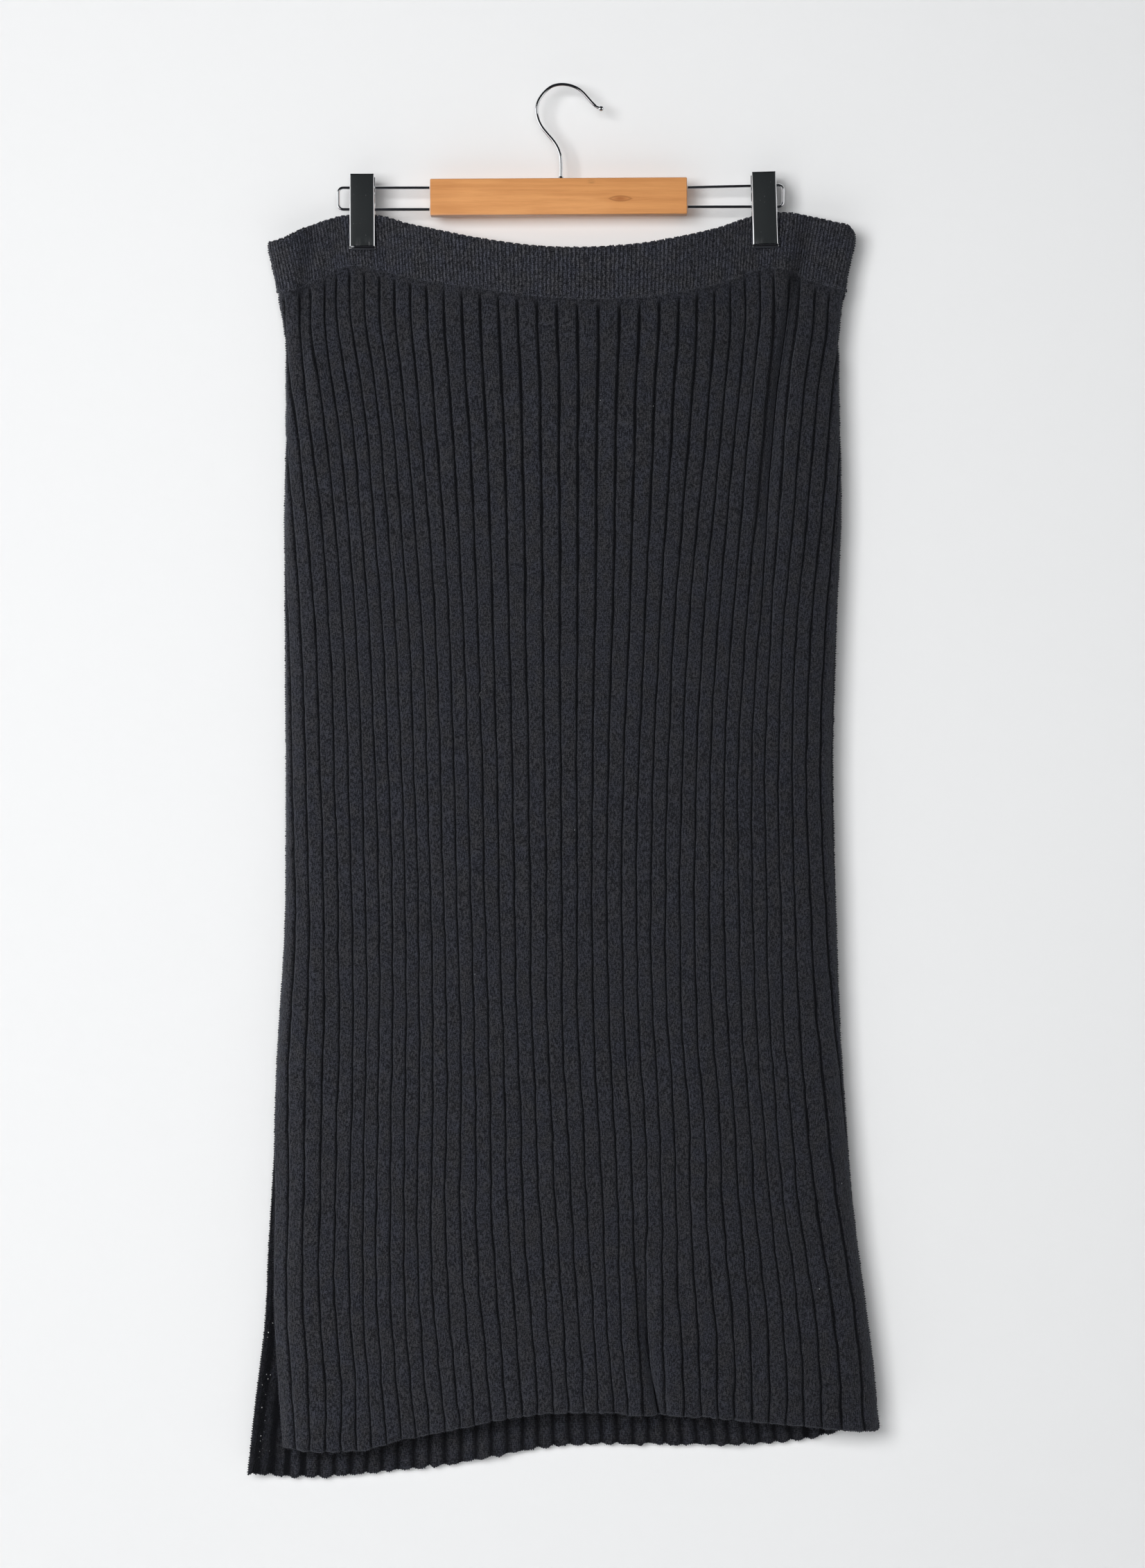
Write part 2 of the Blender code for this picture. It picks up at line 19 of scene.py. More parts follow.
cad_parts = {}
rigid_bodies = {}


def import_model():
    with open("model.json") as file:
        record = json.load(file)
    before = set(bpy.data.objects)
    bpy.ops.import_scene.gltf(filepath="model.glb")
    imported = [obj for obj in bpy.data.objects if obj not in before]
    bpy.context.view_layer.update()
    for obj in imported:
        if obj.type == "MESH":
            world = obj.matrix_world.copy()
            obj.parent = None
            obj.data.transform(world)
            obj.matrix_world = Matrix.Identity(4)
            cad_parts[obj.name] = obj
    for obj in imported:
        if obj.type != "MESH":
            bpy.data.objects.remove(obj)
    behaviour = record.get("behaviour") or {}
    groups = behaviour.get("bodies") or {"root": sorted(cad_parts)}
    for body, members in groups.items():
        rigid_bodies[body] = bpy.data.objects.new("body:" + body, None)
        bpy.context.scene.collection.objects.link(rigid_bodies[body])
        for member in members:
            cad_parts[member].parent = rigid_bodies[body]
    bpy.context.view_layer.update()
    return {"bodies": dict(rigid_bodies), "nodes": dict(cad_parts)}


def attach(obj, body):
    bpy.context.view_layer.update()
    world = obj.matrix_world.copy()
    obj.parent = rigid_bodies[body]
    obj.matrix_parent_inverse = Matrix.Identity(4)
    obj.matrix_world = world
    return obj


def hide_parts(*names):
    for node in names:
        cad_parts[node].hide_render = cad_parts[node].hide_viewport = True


bl_info = {
    "name": "Midi skirt on a clip hanger",
    "version": (1, 0, 0),
    "blender": (4, 5, 0),
    "location": "3D View > Sidebar > Skirt",
    "description": "Builds the knit, hanger and studio round the packed model",
    "category": "Object",
}

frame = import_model()
BODY = next(iter(frame["bodies"]))
MM = 0.001
SEED = 7

# Knit walls
RIBS = 39
FINE_RIBS = 96
GROOVE_WALL = 1.2
CROWN_WALL = 2.8
SEAM_WALL = 2.1
FINE_GROOVE_WALL = 1.2
FINE_CROWN_WALL = 2.1
FOLD_WALL = 2.2
RISE = 1.2
RIB_PITCH = 10.3
SLIT_START = 0.658
BODY_LENGTH = 820.0
HEM_LENGTH = 830.0
BAND_LENGTH = 37.0
GAP = 0.3
# The height that the waistband's rows share, the tuck of each layer at the waist seam, how light the
# yarn's colour is at the seam, and how much painted shade a fold gets.
BAND_SPAN = 38.5
TUCK = {"outer": 0.25, "inner": 0.0}
SEAM_LIGHTNESS = 0.66
FOLD_SHADE = 0.8

# Measured courses: number, left fold, right fold, then the groove at every fourth rib.
GROOVES_AT = (4, 8, 12, 16, 20, 24, 28, 32, 36)
SECTIONS = (
    (-1.00, -212.5, 214.0, -196.0, -157.0, -111.2, -60.4, -3.4, 57.3, 111.5, 157.2, 203.0),
    (-0.50, -208.0, 209.0, -192.5, -155.0, -109.9, -59.6, -3.4, 56.8, 110.6, 155.6, 198.0),
    (0.00, -204.2, 204.4, -189.4, -152.9, -108.6, -58.8, -3.5, 56.3, 109.7, 153.9, 193.4),
    (0.04, -198.6, 199.8, -188.1, -152.2, -107.7, -57.7, -2.6, 55.6, 109.6, 153.3, 190.3),
    (0.08, -198.0, 199.4, -184.2, -146.9, -104.4, -56.1, -1.5, 53.4, 107.3, 149.9, 185.3),
    (0.13, -198.0, 200.3, -179.0, -140.7, -101.1, -53.6, -1.7, 52.6, 103.9, 145.5, 181.4),
    (0.20, -199.0, 201.0, -172.5, -135.7, -96.0, -51.4, -1.0, 51.0, 98.6, 140.5, 176.5),
    (0.30, -198.5, 197.7, -166.2, -129.0, -90.5, -49.1, -1.0, 48.6, 91.5, 133.4, 168.9),
    (0.42, -198.0, 195.0, -162.8, -124.4, -87.0, -46.2, -0.4, 44.7, 87.1, 127.2, 165.6),
    (0.54, -198.5, 197.3, -160.2, -121.3, -84.5, -44.7, 0.5, 43.3, 85.1, 127.2, 167.7),
    (0.66, -204.5, 200.8, -159.7, -121.3, -82.0, -42.0, 0.9, 45.5, 86.9, 130.1, 171.6),
    (0.74, -207.4, 205.3, -161.4, -122.2, -82.4, -40.1, 4.4, 49.2, 91.7, 135.2, 177.4),
    (0.81, -211.4, 210.2, -162.7, -122.8, -83.2, -38.8, 7.0, 51.1, 92.8, 138.8, 183.7),
    (0.88, -214.6, 217.6, -162.0, -122.4, -81.4, -35.5, 10.4, 52.2, 95.2, 145.1, 192.6),
    (0.94, -221.1, 224.0, -158.3, -119.3, -77.3, -31.4, 13.6, 54.7, 99.0, 148.6, 199.0),
    (1.00, -227.0, 229.0, -157.4, -114.7, -72.9, -27.8, 16.4, 59.2, 99.9, 149.0, 201.2),
)
SLIT_EDGE = ((0.658, -201.5), (0.74, -204.1), (0.82, -206.0), (0.88, -206.1), (0.94, -203.6), (1.0, -200.2))

# Heights along the ribs: rib, band top, seam, slit level, hem.
FRONT_HEIGHTS = (
    (0, -101.0, -139.5, -698.0, -981.5),
    (3, -112.5, -149.0, -697.5, -982.8),
    (5, -103.5, -143.0, -694.0, -982.0),
    (8, -94.3, -130.2, -685.6, -974.3),
    (10, -95.3, -133.4, -684.4, -970.2),
    (12, -99.4, -139.4, -683.2, -965.9),
    (16, -110.4, -147.7, -680.3, -957.2),
    (20, -117.0, -154.3, -680.8, -954.5),
    (24, -114.3, -154.1, -682.1, -956.6),
    (28, -103.1, -144.4, -679.7, -957.9),
    (32, -90.8, -131.5, -678.1, -962.2),
    (35, -97.5, -143.0, -684.0, -966.0),
    (36, -100.8, -145.7, -685.8, -967.3),
    (37, -106.5, -148.0, -687.5, -968.5),
    (39, -99.0, -142.0, -688.1, -969.0),
)
BACK_HEIGHTS = (
    (0, -99.0, -142.0, -688.1, -969.0),
    (3.6, -91.5, -131.5, -688.0, -978.5),
    (8, -103.0, -144.0, -688.5, -982.3),
    (13, -114.0, -153.0, -689.0, -982.5),
    (20, -116.8, -154.0, -692.0, -984.5),
    (26, -110.8, -148.3, -695.0, -996.5),
    (31, -101.0, -140.0, -696.5, -1003.2),
    (35, -94.3, -130.5, -697.5, -1006.4),
    (39, -101.0, -139.5, -698.0, -1003.0),
)
HEIGHTS = {"front": FRONT_HEIGHTS, "back": BACK_HEIGHTS}

# How far the walls stand from the middle plane: course, front, back.
FULLNESS = (
    (-1.0, 10.0, 7.0),
    (0.0, 10.5, 8.0),
    (0.1, 11.5, 9.0),
    (0.3, 12.0, 10.0),
    (0.66, 13.0, 11.5),
    (1.0, 16.0, 15.0),
)
FOLD_LENGTH = ((-1.0, 18.0), (0.0, 20.0), (0.2, 24.0), (1.0, 24.0))
EDGE_SHARE = {"front": 0.30, "back": 0.35}
SLIT_OPENS_OVER = 0.14

CLIPS_AT = (-143.4, 146.6)
PINCH_HALF = 10.5
PINCH_SPREAD = 62.0
PINCH_BOTTOM = -0.35
PINCH_DROP = 75.0

# Soft troughs: half width, then rows of course, x and share of the fullness.
FRONT_TROUGHS = (
    (6.0, (
        (-1.0, 177.0, 0.5), (0.0, 169.0, 0.8), (0.054, 161.5, 0.75),
        (0.1, 154.5, 0.6), (0.2, 147.5, 0.4), (0.34, 146.0, 0.0),
    )),
    (8.0, ((-1.0, -182.0, 0.45), (0.0, -186.0, 0.5), (0.06, -186.0, 0.3), (0.16, -184.0, 0.0))),
    (5.5, ((0.8, 55.0, 0.0), (0.9, 58.5, 0.35), (0.95, 62.0, 0.5), (1.0, 71.5, 0.55))),
)
BACK_TROUGHS = (
    (11.0, ((-1.0, -168.0, 0.3), (0.0, -160.0, 0.4), (0.12, -150.0, 0.2), (0.25, -146.0, 0.0))),
    (12.0, ((-1.0, 96.0, 0.1), (0.05, 88.0, 0.25), (0.2, 80.0, 0.12), (0.34, 76.0, 0.0))),
    (13.0, ((0.6, -40.0, 0.0), (0.85, -46.0, 0.2), (1.0, -50.0, 0.34))),
    (12.0, ((0.7, 120.0, 0.0), (0.9, 124.0, 0.16), (1.0, 127.0, 0.26))),
)
TROUGHS = {"front": FRONT_TROUGHS, "back": BACK_TROUGHS}

# Soft ridges: half width, then rows of course, x and height.
FRONT_RIDGES = (
    (5.5, (
        (-1.0, 167.0, 1.2), (0.0, 159.5, 3.0), (0.06, 152.0, 3.2), (0.12, 145.5, 2.4), (0.25, 137.0, 0.0),
    )),
    (7.0, ((-1.0, 188.0, 2.4), (0.0, 178.5, 3.8), (0.06, 171.5, 3.6), (0.14, 164.0, 2.2), (0.3, 154.0, 0.0))),
    (6.0, ((-1.0, -170.0, 1.8), (0.0, -176.0, 3.2), (0.08, -177.0, 2.4), (0.22, -177.0, 0.0))),
    (7.0, ((-1.0, -193.0, 1.6), (0.0, -194.0, 2.2), (0.12, -194.0, 0.0))),
    (6.0, ((0.84, 46.0, 0.0), (0.93, 50.0, 1.2), (1.0, 60.0, 1.8))),
    (6.0, ((0.84, 72.0, 0.0), (0.93, 75.0, 1.0), (1.0, 87.0, 1.4))),
    (16.0, ((0.3, -60.0, 0.0), (0.55, -64.0, 1.0), (0.8, -70.0, 0.6), (1.0, -74.0, 0.0))),
    (15.0, ((0.45, 96.0, 0.0), (0.7, 104.0, 0.9), (1.0, 110.0, 1.1))),
    (13.0, ((0.66, -120.0, 0.0), (0.85, -126.0, 0.8), (1.0, -130.0, 1.2))),
)
BACK_RIDGES = (
    (12.0, ((-1.0, -120.0, 0.8), (0.0, -112.0, 1.6), (0.15, -104.0, 0.8), (0.3, -100.0, 0.0))),
    (14.0, ((0.0, 50.0, 0.0), (0.2, 46.0, 1.4), (0.5, 42.0, 0.6), (0.7, 40.0, 0.0))),
    (13.0, ((0.6, 10.0, 0.0), (0.85, 14.0, 1.2), (1.0, 16.0, 1.8))),
    (12.0, ((0.7, -110.0, 0.0), (0.9, -116.0, 1.0), (1.0, -120.0, 1.4))),
)
RIDGES = {"front": FRONT_RIDGES, "back": BACK_RIDGES}

# Small holes where the slit's back edge was linked: x, z and radius.
PINHOLES = (
    (-208.9, -893.6, 0.38), (-211.9, -900.2, 0.45), (-212.5, -903.5, 0.42), (-213.2, -930.7, 0.48),
    (-211.1, -931.3, 0.38), (-211.5, -934.1, 0.52), (-216.8, -937.0, 0.32), (-210.8, -941.5, 0.32),
    (-215.3, -943.5, 0.5), (-213.2, -945.4, 0.32), (-211.2, -948.4, 0.32), (-212.5, -950.6, 0.42),
    (-216.7, -954.7, 0.5), (-214.3, -960.5, 0.32), (-214.6, -964.1, 0.46), (-214.9, -972.4, 0.38),
    (-217.1, -975.4, 0.62), (-214.4, -975.0, 0.36), (-216.2, -976.7, 0.32), (-217.5, -979.1, 0.44),
    (-215.1, -979.7, 0.38), (-215.8, -982.1, 0.42), (-217.9, -986.7, 0.38), (-215.1, -987.0, 0.36),
    (-212.5, -987.0, 0.32), (-218.1, -989.4, 0.46),
)

# How far each layer's hole moves so that the lens looks through both, and faces too slim for a hole.
PINHOLE_SIGHT = {"outer": (-0.2, -0.42), "inner": (0.0, 0.0)}
SLIM_FACE = 0.95

# Hanger
BLOCK = (185.0, 12.0, 26.3)
BLOCK_CENTRE = (-2.0, 0.0, -80.2)
BLOCK_TILT = 0.35
LOOP_CORNER = 3.6
# For each side: outward direction, block end, loop end, upper run at block and end, lower run.
LOOPS = {
    "left": (-1, -94.9, -161.0, -73.2, -73.2, -88.8, -88.8),
    "right": (1, 90.9, 159.9, -73.0, -71.3, -87.0, -86.8),
}
HOOK_PATH = (
    (-0.4, -66.7), (-0.4, -54.7), (-0.9, -49.8), (-2.9, -44.1), (-6.0, -39.2), (-9.9, -34.7),
    (-14.1, -29.4), (-16.6, -24.5), (-17.8, -19.6), (-17.8, -15.4), (-16.6, -10.8), (-14.1, -6.6),
    (-10.6, -2.75), (-6.4, 0.05), (-2.2, 1.2), (2.2, 1.3), (7.2, 0.3), (11.8, -1.7),
    (15.0, -4.1), (18.9, -8.3), (23.4, -13.2), (25.9, -15.2), (28.0, -15.9),
)
HOOK_TIP = (28.6, -16.1)
HOOK_TIP_RADIUS = 2.1
COLLAR_PROFILE = ((1.5, 0.0), (2.35, 0.0), (2.45, 0.25), (2.3, 0.75), (1.95, 1.1), (1.85, 1.45), (1.5, 1.6))
CLIP_TOP_WIDTH = 17.3
CLIP_FOOT_WIDTH = 18.9
CLIP_HEIGHT = 54.6
JAW_FOOT_OUT = 6.4
JAW_LEAN = 3.2 / CLIP_HEIGHT
JAW_PLATE = 2.2
TRAY_DEPTH = 1.1
COVER_HALF_WIDTH = 8.05
RIM_SLOPE = 0.72
SLEEVE_RADIUS = 3.0
# Place of each clip: centre, height of its foot, turn in degrees.
CLIPS = {"left": (-143.4, -118.9, 0.0), "right": (147.2, -117.4, -1.8)}

# Rises and dips of the waistband's top edge: x, reach and height.
TOP_LIFTS = (
    (207.0, 5.0, 2.0), (128.0, 16.0, 1.2), (-130.0, 14.0, 2.6), (-155.0, 9.0, 1.2), (-195.0, 11.0, -1.4),
)
# Lint: specks in the plane of the picture, with radius, and one stray hair.
SPECKS = (
    (28.0, -228.0, 0.4), (66.0, -232.0, 0.35), (9.5, -536.5, 0.4), (185.0, -865.5, 0.45),
    (201.5, -790.5, 0.35), (150.0, -104.5, 0.35), (177.5, -108.5, 0.4), (-62.0, -640.0, 0.3),
)
HAIR = ((-54.0, -435.0), (-55.4, -436.6), (-57.6, -437.4), (-58.6, -439.6), (-57.4, -442.0))
# Ends of yarn at the right side seam: x and z along each.
TUFTS = (
    ((203.4, -148.6), (204.3, -151.0), (203.2, -153.4)),
    ((228.4, -965.6), (229.3, -967.6), (228.0, -969.0)),
)


class KnitSettings(bpy.types.PropertyGroup):
    """Sizes and colours of the knit."""

    wales: IntProperty(
        name="Wales", description="Wales in each wide rib, the groove's one with them", default=6, min=2
    )
    course: FloatProperty(name="Course", description="Height of one stitch", default=1.35 * MM, unit="LENGTH")
    rows: IntProperty(name="Rows", description="Rows of faces down each body panel", default=130, min=20)
    wobble: FloatProperty(
        name="Wobble", description="How far the grooves wander", default=0.56 * MM, unit="LENGTH"
    )
    flute: FloatProperty(
        name="Flute", description="Depth of the waves at the back hem", default=1.0 * MM, unit="LENGTH"
    )
    yarn: FloatVectorProperty(
        name="Yarn", description="Charcoal of the rib crowns", subtype="COLOR", default=(0.047, 0.048, 0.0565)
    )
    # Also the base colour of the painted shade in the grooves and folds.
    shade: FloatVectorProperty(
        name="Shade",
        description="Darker yarn between the stitches",
        subtype="COLOR",
        default=(0.0042, 0.0045, 0.006),
    )
    fuzz_length: FloatProperty(
        name="Fuzz", description="Length of a loose fibre", default=1.9 * MM, unit="LENGTH"
    )
    fuzz_density: FloatProperty(
        name="Fuzz density", description="Loose fibres in a square metre", default=15000.0
    )


class HangerSettings(bpy.types.PropertyGroup):
    """Sizes and colours of the hanger."""

    hook_wire: FloatProperty(
        name="Hook wire", description="Diameter of the hook", default=2.6 * MM, unit="LENGTH"
    )
    loop_wire: FloatProperty(
        name="Loop wire", description="Diameter of the wire loops", default=2.2 * MM, unit="LENGTH"
    )
    bevel: FloatProperty(
        name="Clip bevel", description="Rounding of the bent steel", default=0.42 * MM, unit="LENGTH"
    )
    wood: FloatVectorProperty(
        name="Wood", description="Light grain of the bar", subtype="COLOR", default=(0.66, 0.31, 0.115)
    )
    wood_dark: FloatVectorProperty(
        name="Dark grain", description="Dark grain of the bar", subtype="COLOR", default=(0.46, 0.185, 0.06)
    )
    chrome: FloatVectorProperty(
        name="Chrome", description="Bright plating", subtype="COLOR", default=(0.83, 0.84, 0.86)
    )


class StudioSettings(bpy.types.PropertyGroup):
    """Backdrop, lights and camera."""

    distance: FloatProperty(
        name="Camera distance", description="From the lens to the hook", default=2.8, unit="LENGTH"
    )
    wall_gap: FloatProperty(
        name="Wall", description="From the hook to the wall behind", default=0.023, unit="LENGTH"
    )
    key: FloatProperty(name="Key light", description="Power of the soft light at the left", default=57.0)
    fill: FloatProperty(name="Fill light", description="Power of the light behind the camera", default=29.5)
    strip: FloatProperty(
        name="Side panels", description="Power of the panels that the steel mirrors", default=19.0
    )
    rear: FloatProperty(name="Rear light", description="Power of the light on the back", default=44.0)


def smooth(low, high, x):
    share = np.clip((x - low) / (high - low), 0.0, 1.0)
    return share * share * (3.0 - 2.0 * share)


def hump(x, width):
    return np.exp(-((x / width) ** 2))


def rounded(share):
    """A quarter of a circle, from 0 to 1."""
    return np.sqrt(1 - (1 - share) ** 2)


def through(xs, ys, x):
    """A smooth curve through points."""
    slopes = np.gradient(ys, xs)
    x = np.clip(np.asarray(x, float), xs[0], xs[-1])
    i = np.clip(np.searchsorted(xs, x, side="right") - 1, 0, len(xs) - 2)
    width = xs[i + 1] - xs[i]
    u = (x - xs[i]) / width
    near = (1 + 2 * u) * (1 - u) ** 2 * ys[i] + u * (1 - u) ** 2 * width * slopes[i]
    far = u * u * (3 - 2 * u) * ys[i + 1] + u * u * (u - 1) * width * slopes[i + 1]
    return near + far


def table(rows, column, x, key=float):
    """A column of a table, read smoothly at x."""
    return through(np.array([key(r[0]) for r in rows]), np.array([r[column] for r in rows], float), x)


def down(number):
    """Millimetres of cloth from the seam to a course."""
    return number * (BAND_LENGTH if number < 0 else BODY_LENGTH)


def at_course(rows, column, number):
    return float(table(rows, column, down(number), down))


def humps(forms, number, x):
    """The troughs or ridges that cross a course, each as its strength at x."""
    for half_width, rows in forms:
        courses, places, strengths = zip(*rows)
        if courses[0] <= number <= courses[-1]:
            at = np.interp(number, courses, places)
            yield np.interp(number, courses, strengths) * hump(x - at, half_width)


class Course:
    """One course seen from above: the inside of the wall, with arc lengths along it."""

    def __init__(self, number):
        self.number = number
        self.open = float(smooth(0.0, SLIT_OPENS_OVER, number - SLIT_START))
        inset = FOLD_WALL if number > 0 else FINE_GROOVE_WALL
        left = at_course(SECTIONS, 1, number) + inset * (1 - 0.7 * self.open)
        left = left + 1.5 * smooth(-0.75, -1.0, number)
        right = at_course(SECTIONS, 2, number) - inset
        right = right - 1.3 * smooth(0.0, -0.3, number) - 1.2 * smooth(-0.8, -1.0, number)
        front_left = left
        if number > SLIT_START:
            front_left = (1 - self.open) * left + self.open * at_course(SLIT_EDGE, 1, number)
        self.front = self.half(front_left, right, "front")
        back = self.half(left, right, "back")
        self.girth = self.front[2][-1] + back[2][-1]
        self.along = np.concatenate([-back[2][::-1], self.front[2][1:], self.girth - back[2][::-1][1:]])
        self.x, self.y = (
            np.concatenate([b[::-1], f[1:], b[::-1][1:]]) for b, f in zip(back[:2], self.front[:2])
        )
        self.ribs = self.rib_lines()

    def half(self, left, right, side):
        """A wall's x, y and arc length, close together at its folds."""
        turn = (1 - np.cos(np.linspace(0, math.pi, 900))) / 2
        x = left + (right - left) * turn
        y = (-1 if side == "front" else 1) * self.depth(x, left, right, side)
        return x, y, np.concatenate([[0.0], np.cumsum(np.hypot(np.diff(x), np.diff(y)))])

    def depth(self, x, left, right, side):
        """Distance of the inside of a wall from the middle plane."""
        number = self.number
        full = at_course(FULLNESS, 1 if side == "front" else 2, number)
        fold = at_course(FOLD_LENGTH, 1, number)
        below = max(number * BODY_LENGTH, 0.0) + max(min(number, 0.0) - PINCH_BOTTOM, 0.0) * BAND_LENGTH
        hold = 1.0 if number < PINCH_BOTTOM else math.exp(-((below / PINCH_DROP) ** 1.5))
        for clip in CLIPS_AT:
            full = full * (1 - hold * (1 - smooth(PINCH_HALF, PINCH_HALF + PINCH_SPREAD, np.abs(x - clip))))
        for trough in humps(TROUGHS[side], number, x):
            full = full * (1 - trough)
        for ridge in humps(RIDGES[side], number, x):
            full = full + ridge
        near_left = np.clip((x - left) / fold, 0, 1)
        edge = EDGE_SHARE[side]
        free = edge + (1 - edge) * np.sin(near_left * math.pi / 2)
        cap = (1 - self.open) * rounded(near_left) + self.open * free
        return GAP / 2 + full * cap * rounded(np.clip((right - x) / fold, 0, 1))

    def rib_lines(self):
        """Arc length of each groove of the front panel from its left seam to its right seam."""
        x, _, arc = self.front
        seen = np.interp([at_course(SECTIONS, 3 + k, self.number) for k in range(len(GROOVES_AT))], x, arc)
        first = float(seen[0]) - 4 * RIB_PITCH
        if self.number > SLIT_START - 0.01:
            first = 0.0
        first = min(first, 0.0) if self.number > 0.25 else first
        last = float(seen[-1]) + 3 * (RIB_PITCH + 6.0 * smooth(0.45, 0.85, self.number))
        return np.concatenate([[0.0], GROOVES_AT, [RIBS]]), np.concatenate([[first], seen, [last]])

    def ends(self, side):
        """Arc lengths between which a side's wall runs."""
        first, last = float(self.ribs[1][0]), float(self.ribs[1][-1])
        if side == "front":
            return (0.0 if self.open > 0 else first), last
        return last, (self.girth if self.open > 0 else self.girth + first)

    def arcs(self, side, ribs):
        if side == "front":
            return through(self.ribs[0], self.ribs[1], ribs)
        start = float(self.ribs[1][-1])
        stop = self.girth + float(self.ribs[1][0])
        return start + (stop - start) * ribs / RIBS

    def place(self, arcs):
        return np.stack([np.interp(arcs, self.along, self.x), np.interp(arcs, self.along, self.y)], 1)

    def points(self, side, ribs, shift):
        """Places on the inside of the wall and the directions out of it."""
        low, high = self.ends(side)
        arcs = np.clip(self.arcs(side, ribs) + shift, low + GAP / 4, high - GAP / 4)
        dx, dy = (self.place(np.minimum(arcs + 0.5, high)) - self.place(np.maximum(arcs - 0.5, low))).T
        size = np.hypot(dx, dy)
        return self.place(arcs), np.stack([dy / size, -dx / size], 1)


def heights(side, ribs, number):
    """Height of a course at each rib."""
    top, seam, level, hem = (table(HEIGHTS[side], column, ribs) for column in (1, 2, 3, 4))
    if number <= 0:
        return seam + (top - seam) * -number
    if number <= SLIT_START:
        return seam + (level - seam) * number / SLIT_START
    return level + (hem - level) * (number - SLIT_START) / (1 - SLIT_START)


def painted_lightness_of(side, number, x, shape, grown):
    """Painted lightness of the yarn: 1 on a crown, painted shade in a groove and in a fold, and darker at the
    seam.
    """
    hollow = sum(humps(TROUGHS[side], number, x), np.zeros(len(x)))
    return (shape * grown + (1 - grown) * SEAM_LIGHTNESS) * (1 - FOLD_SHADE * hollow)


def waves(count, seed, lengths):
    """Smooth wandering for each of a number of lines, as a function of height."""
    draw = np.random.default_rng(seed)
    size = draw.uniform(0.5, 1.0, (count, len(lengths))) * np.minimum(np.array(lengths) / 60.0, 1.0) ** 0.5
    turn = draw.uniform(0, 2 * math.pi, (count, len(lengths)))
    pitch = np.array(lengths) * draw.uniform(0.8, 1.25, (count, len(lengths)))

    def at(z):
        return (size * np.sin(turn + 2 * math.pi * z / pitch)).sum(1) / math.sqrt(len(lengths))

    return at


def rim_round(distance, reach):
    """Share of the wall's thickness close to a rounded edge."""
    return 0.35 + 0.65 * rounded(np.clip(distance / reach, 0, 1))


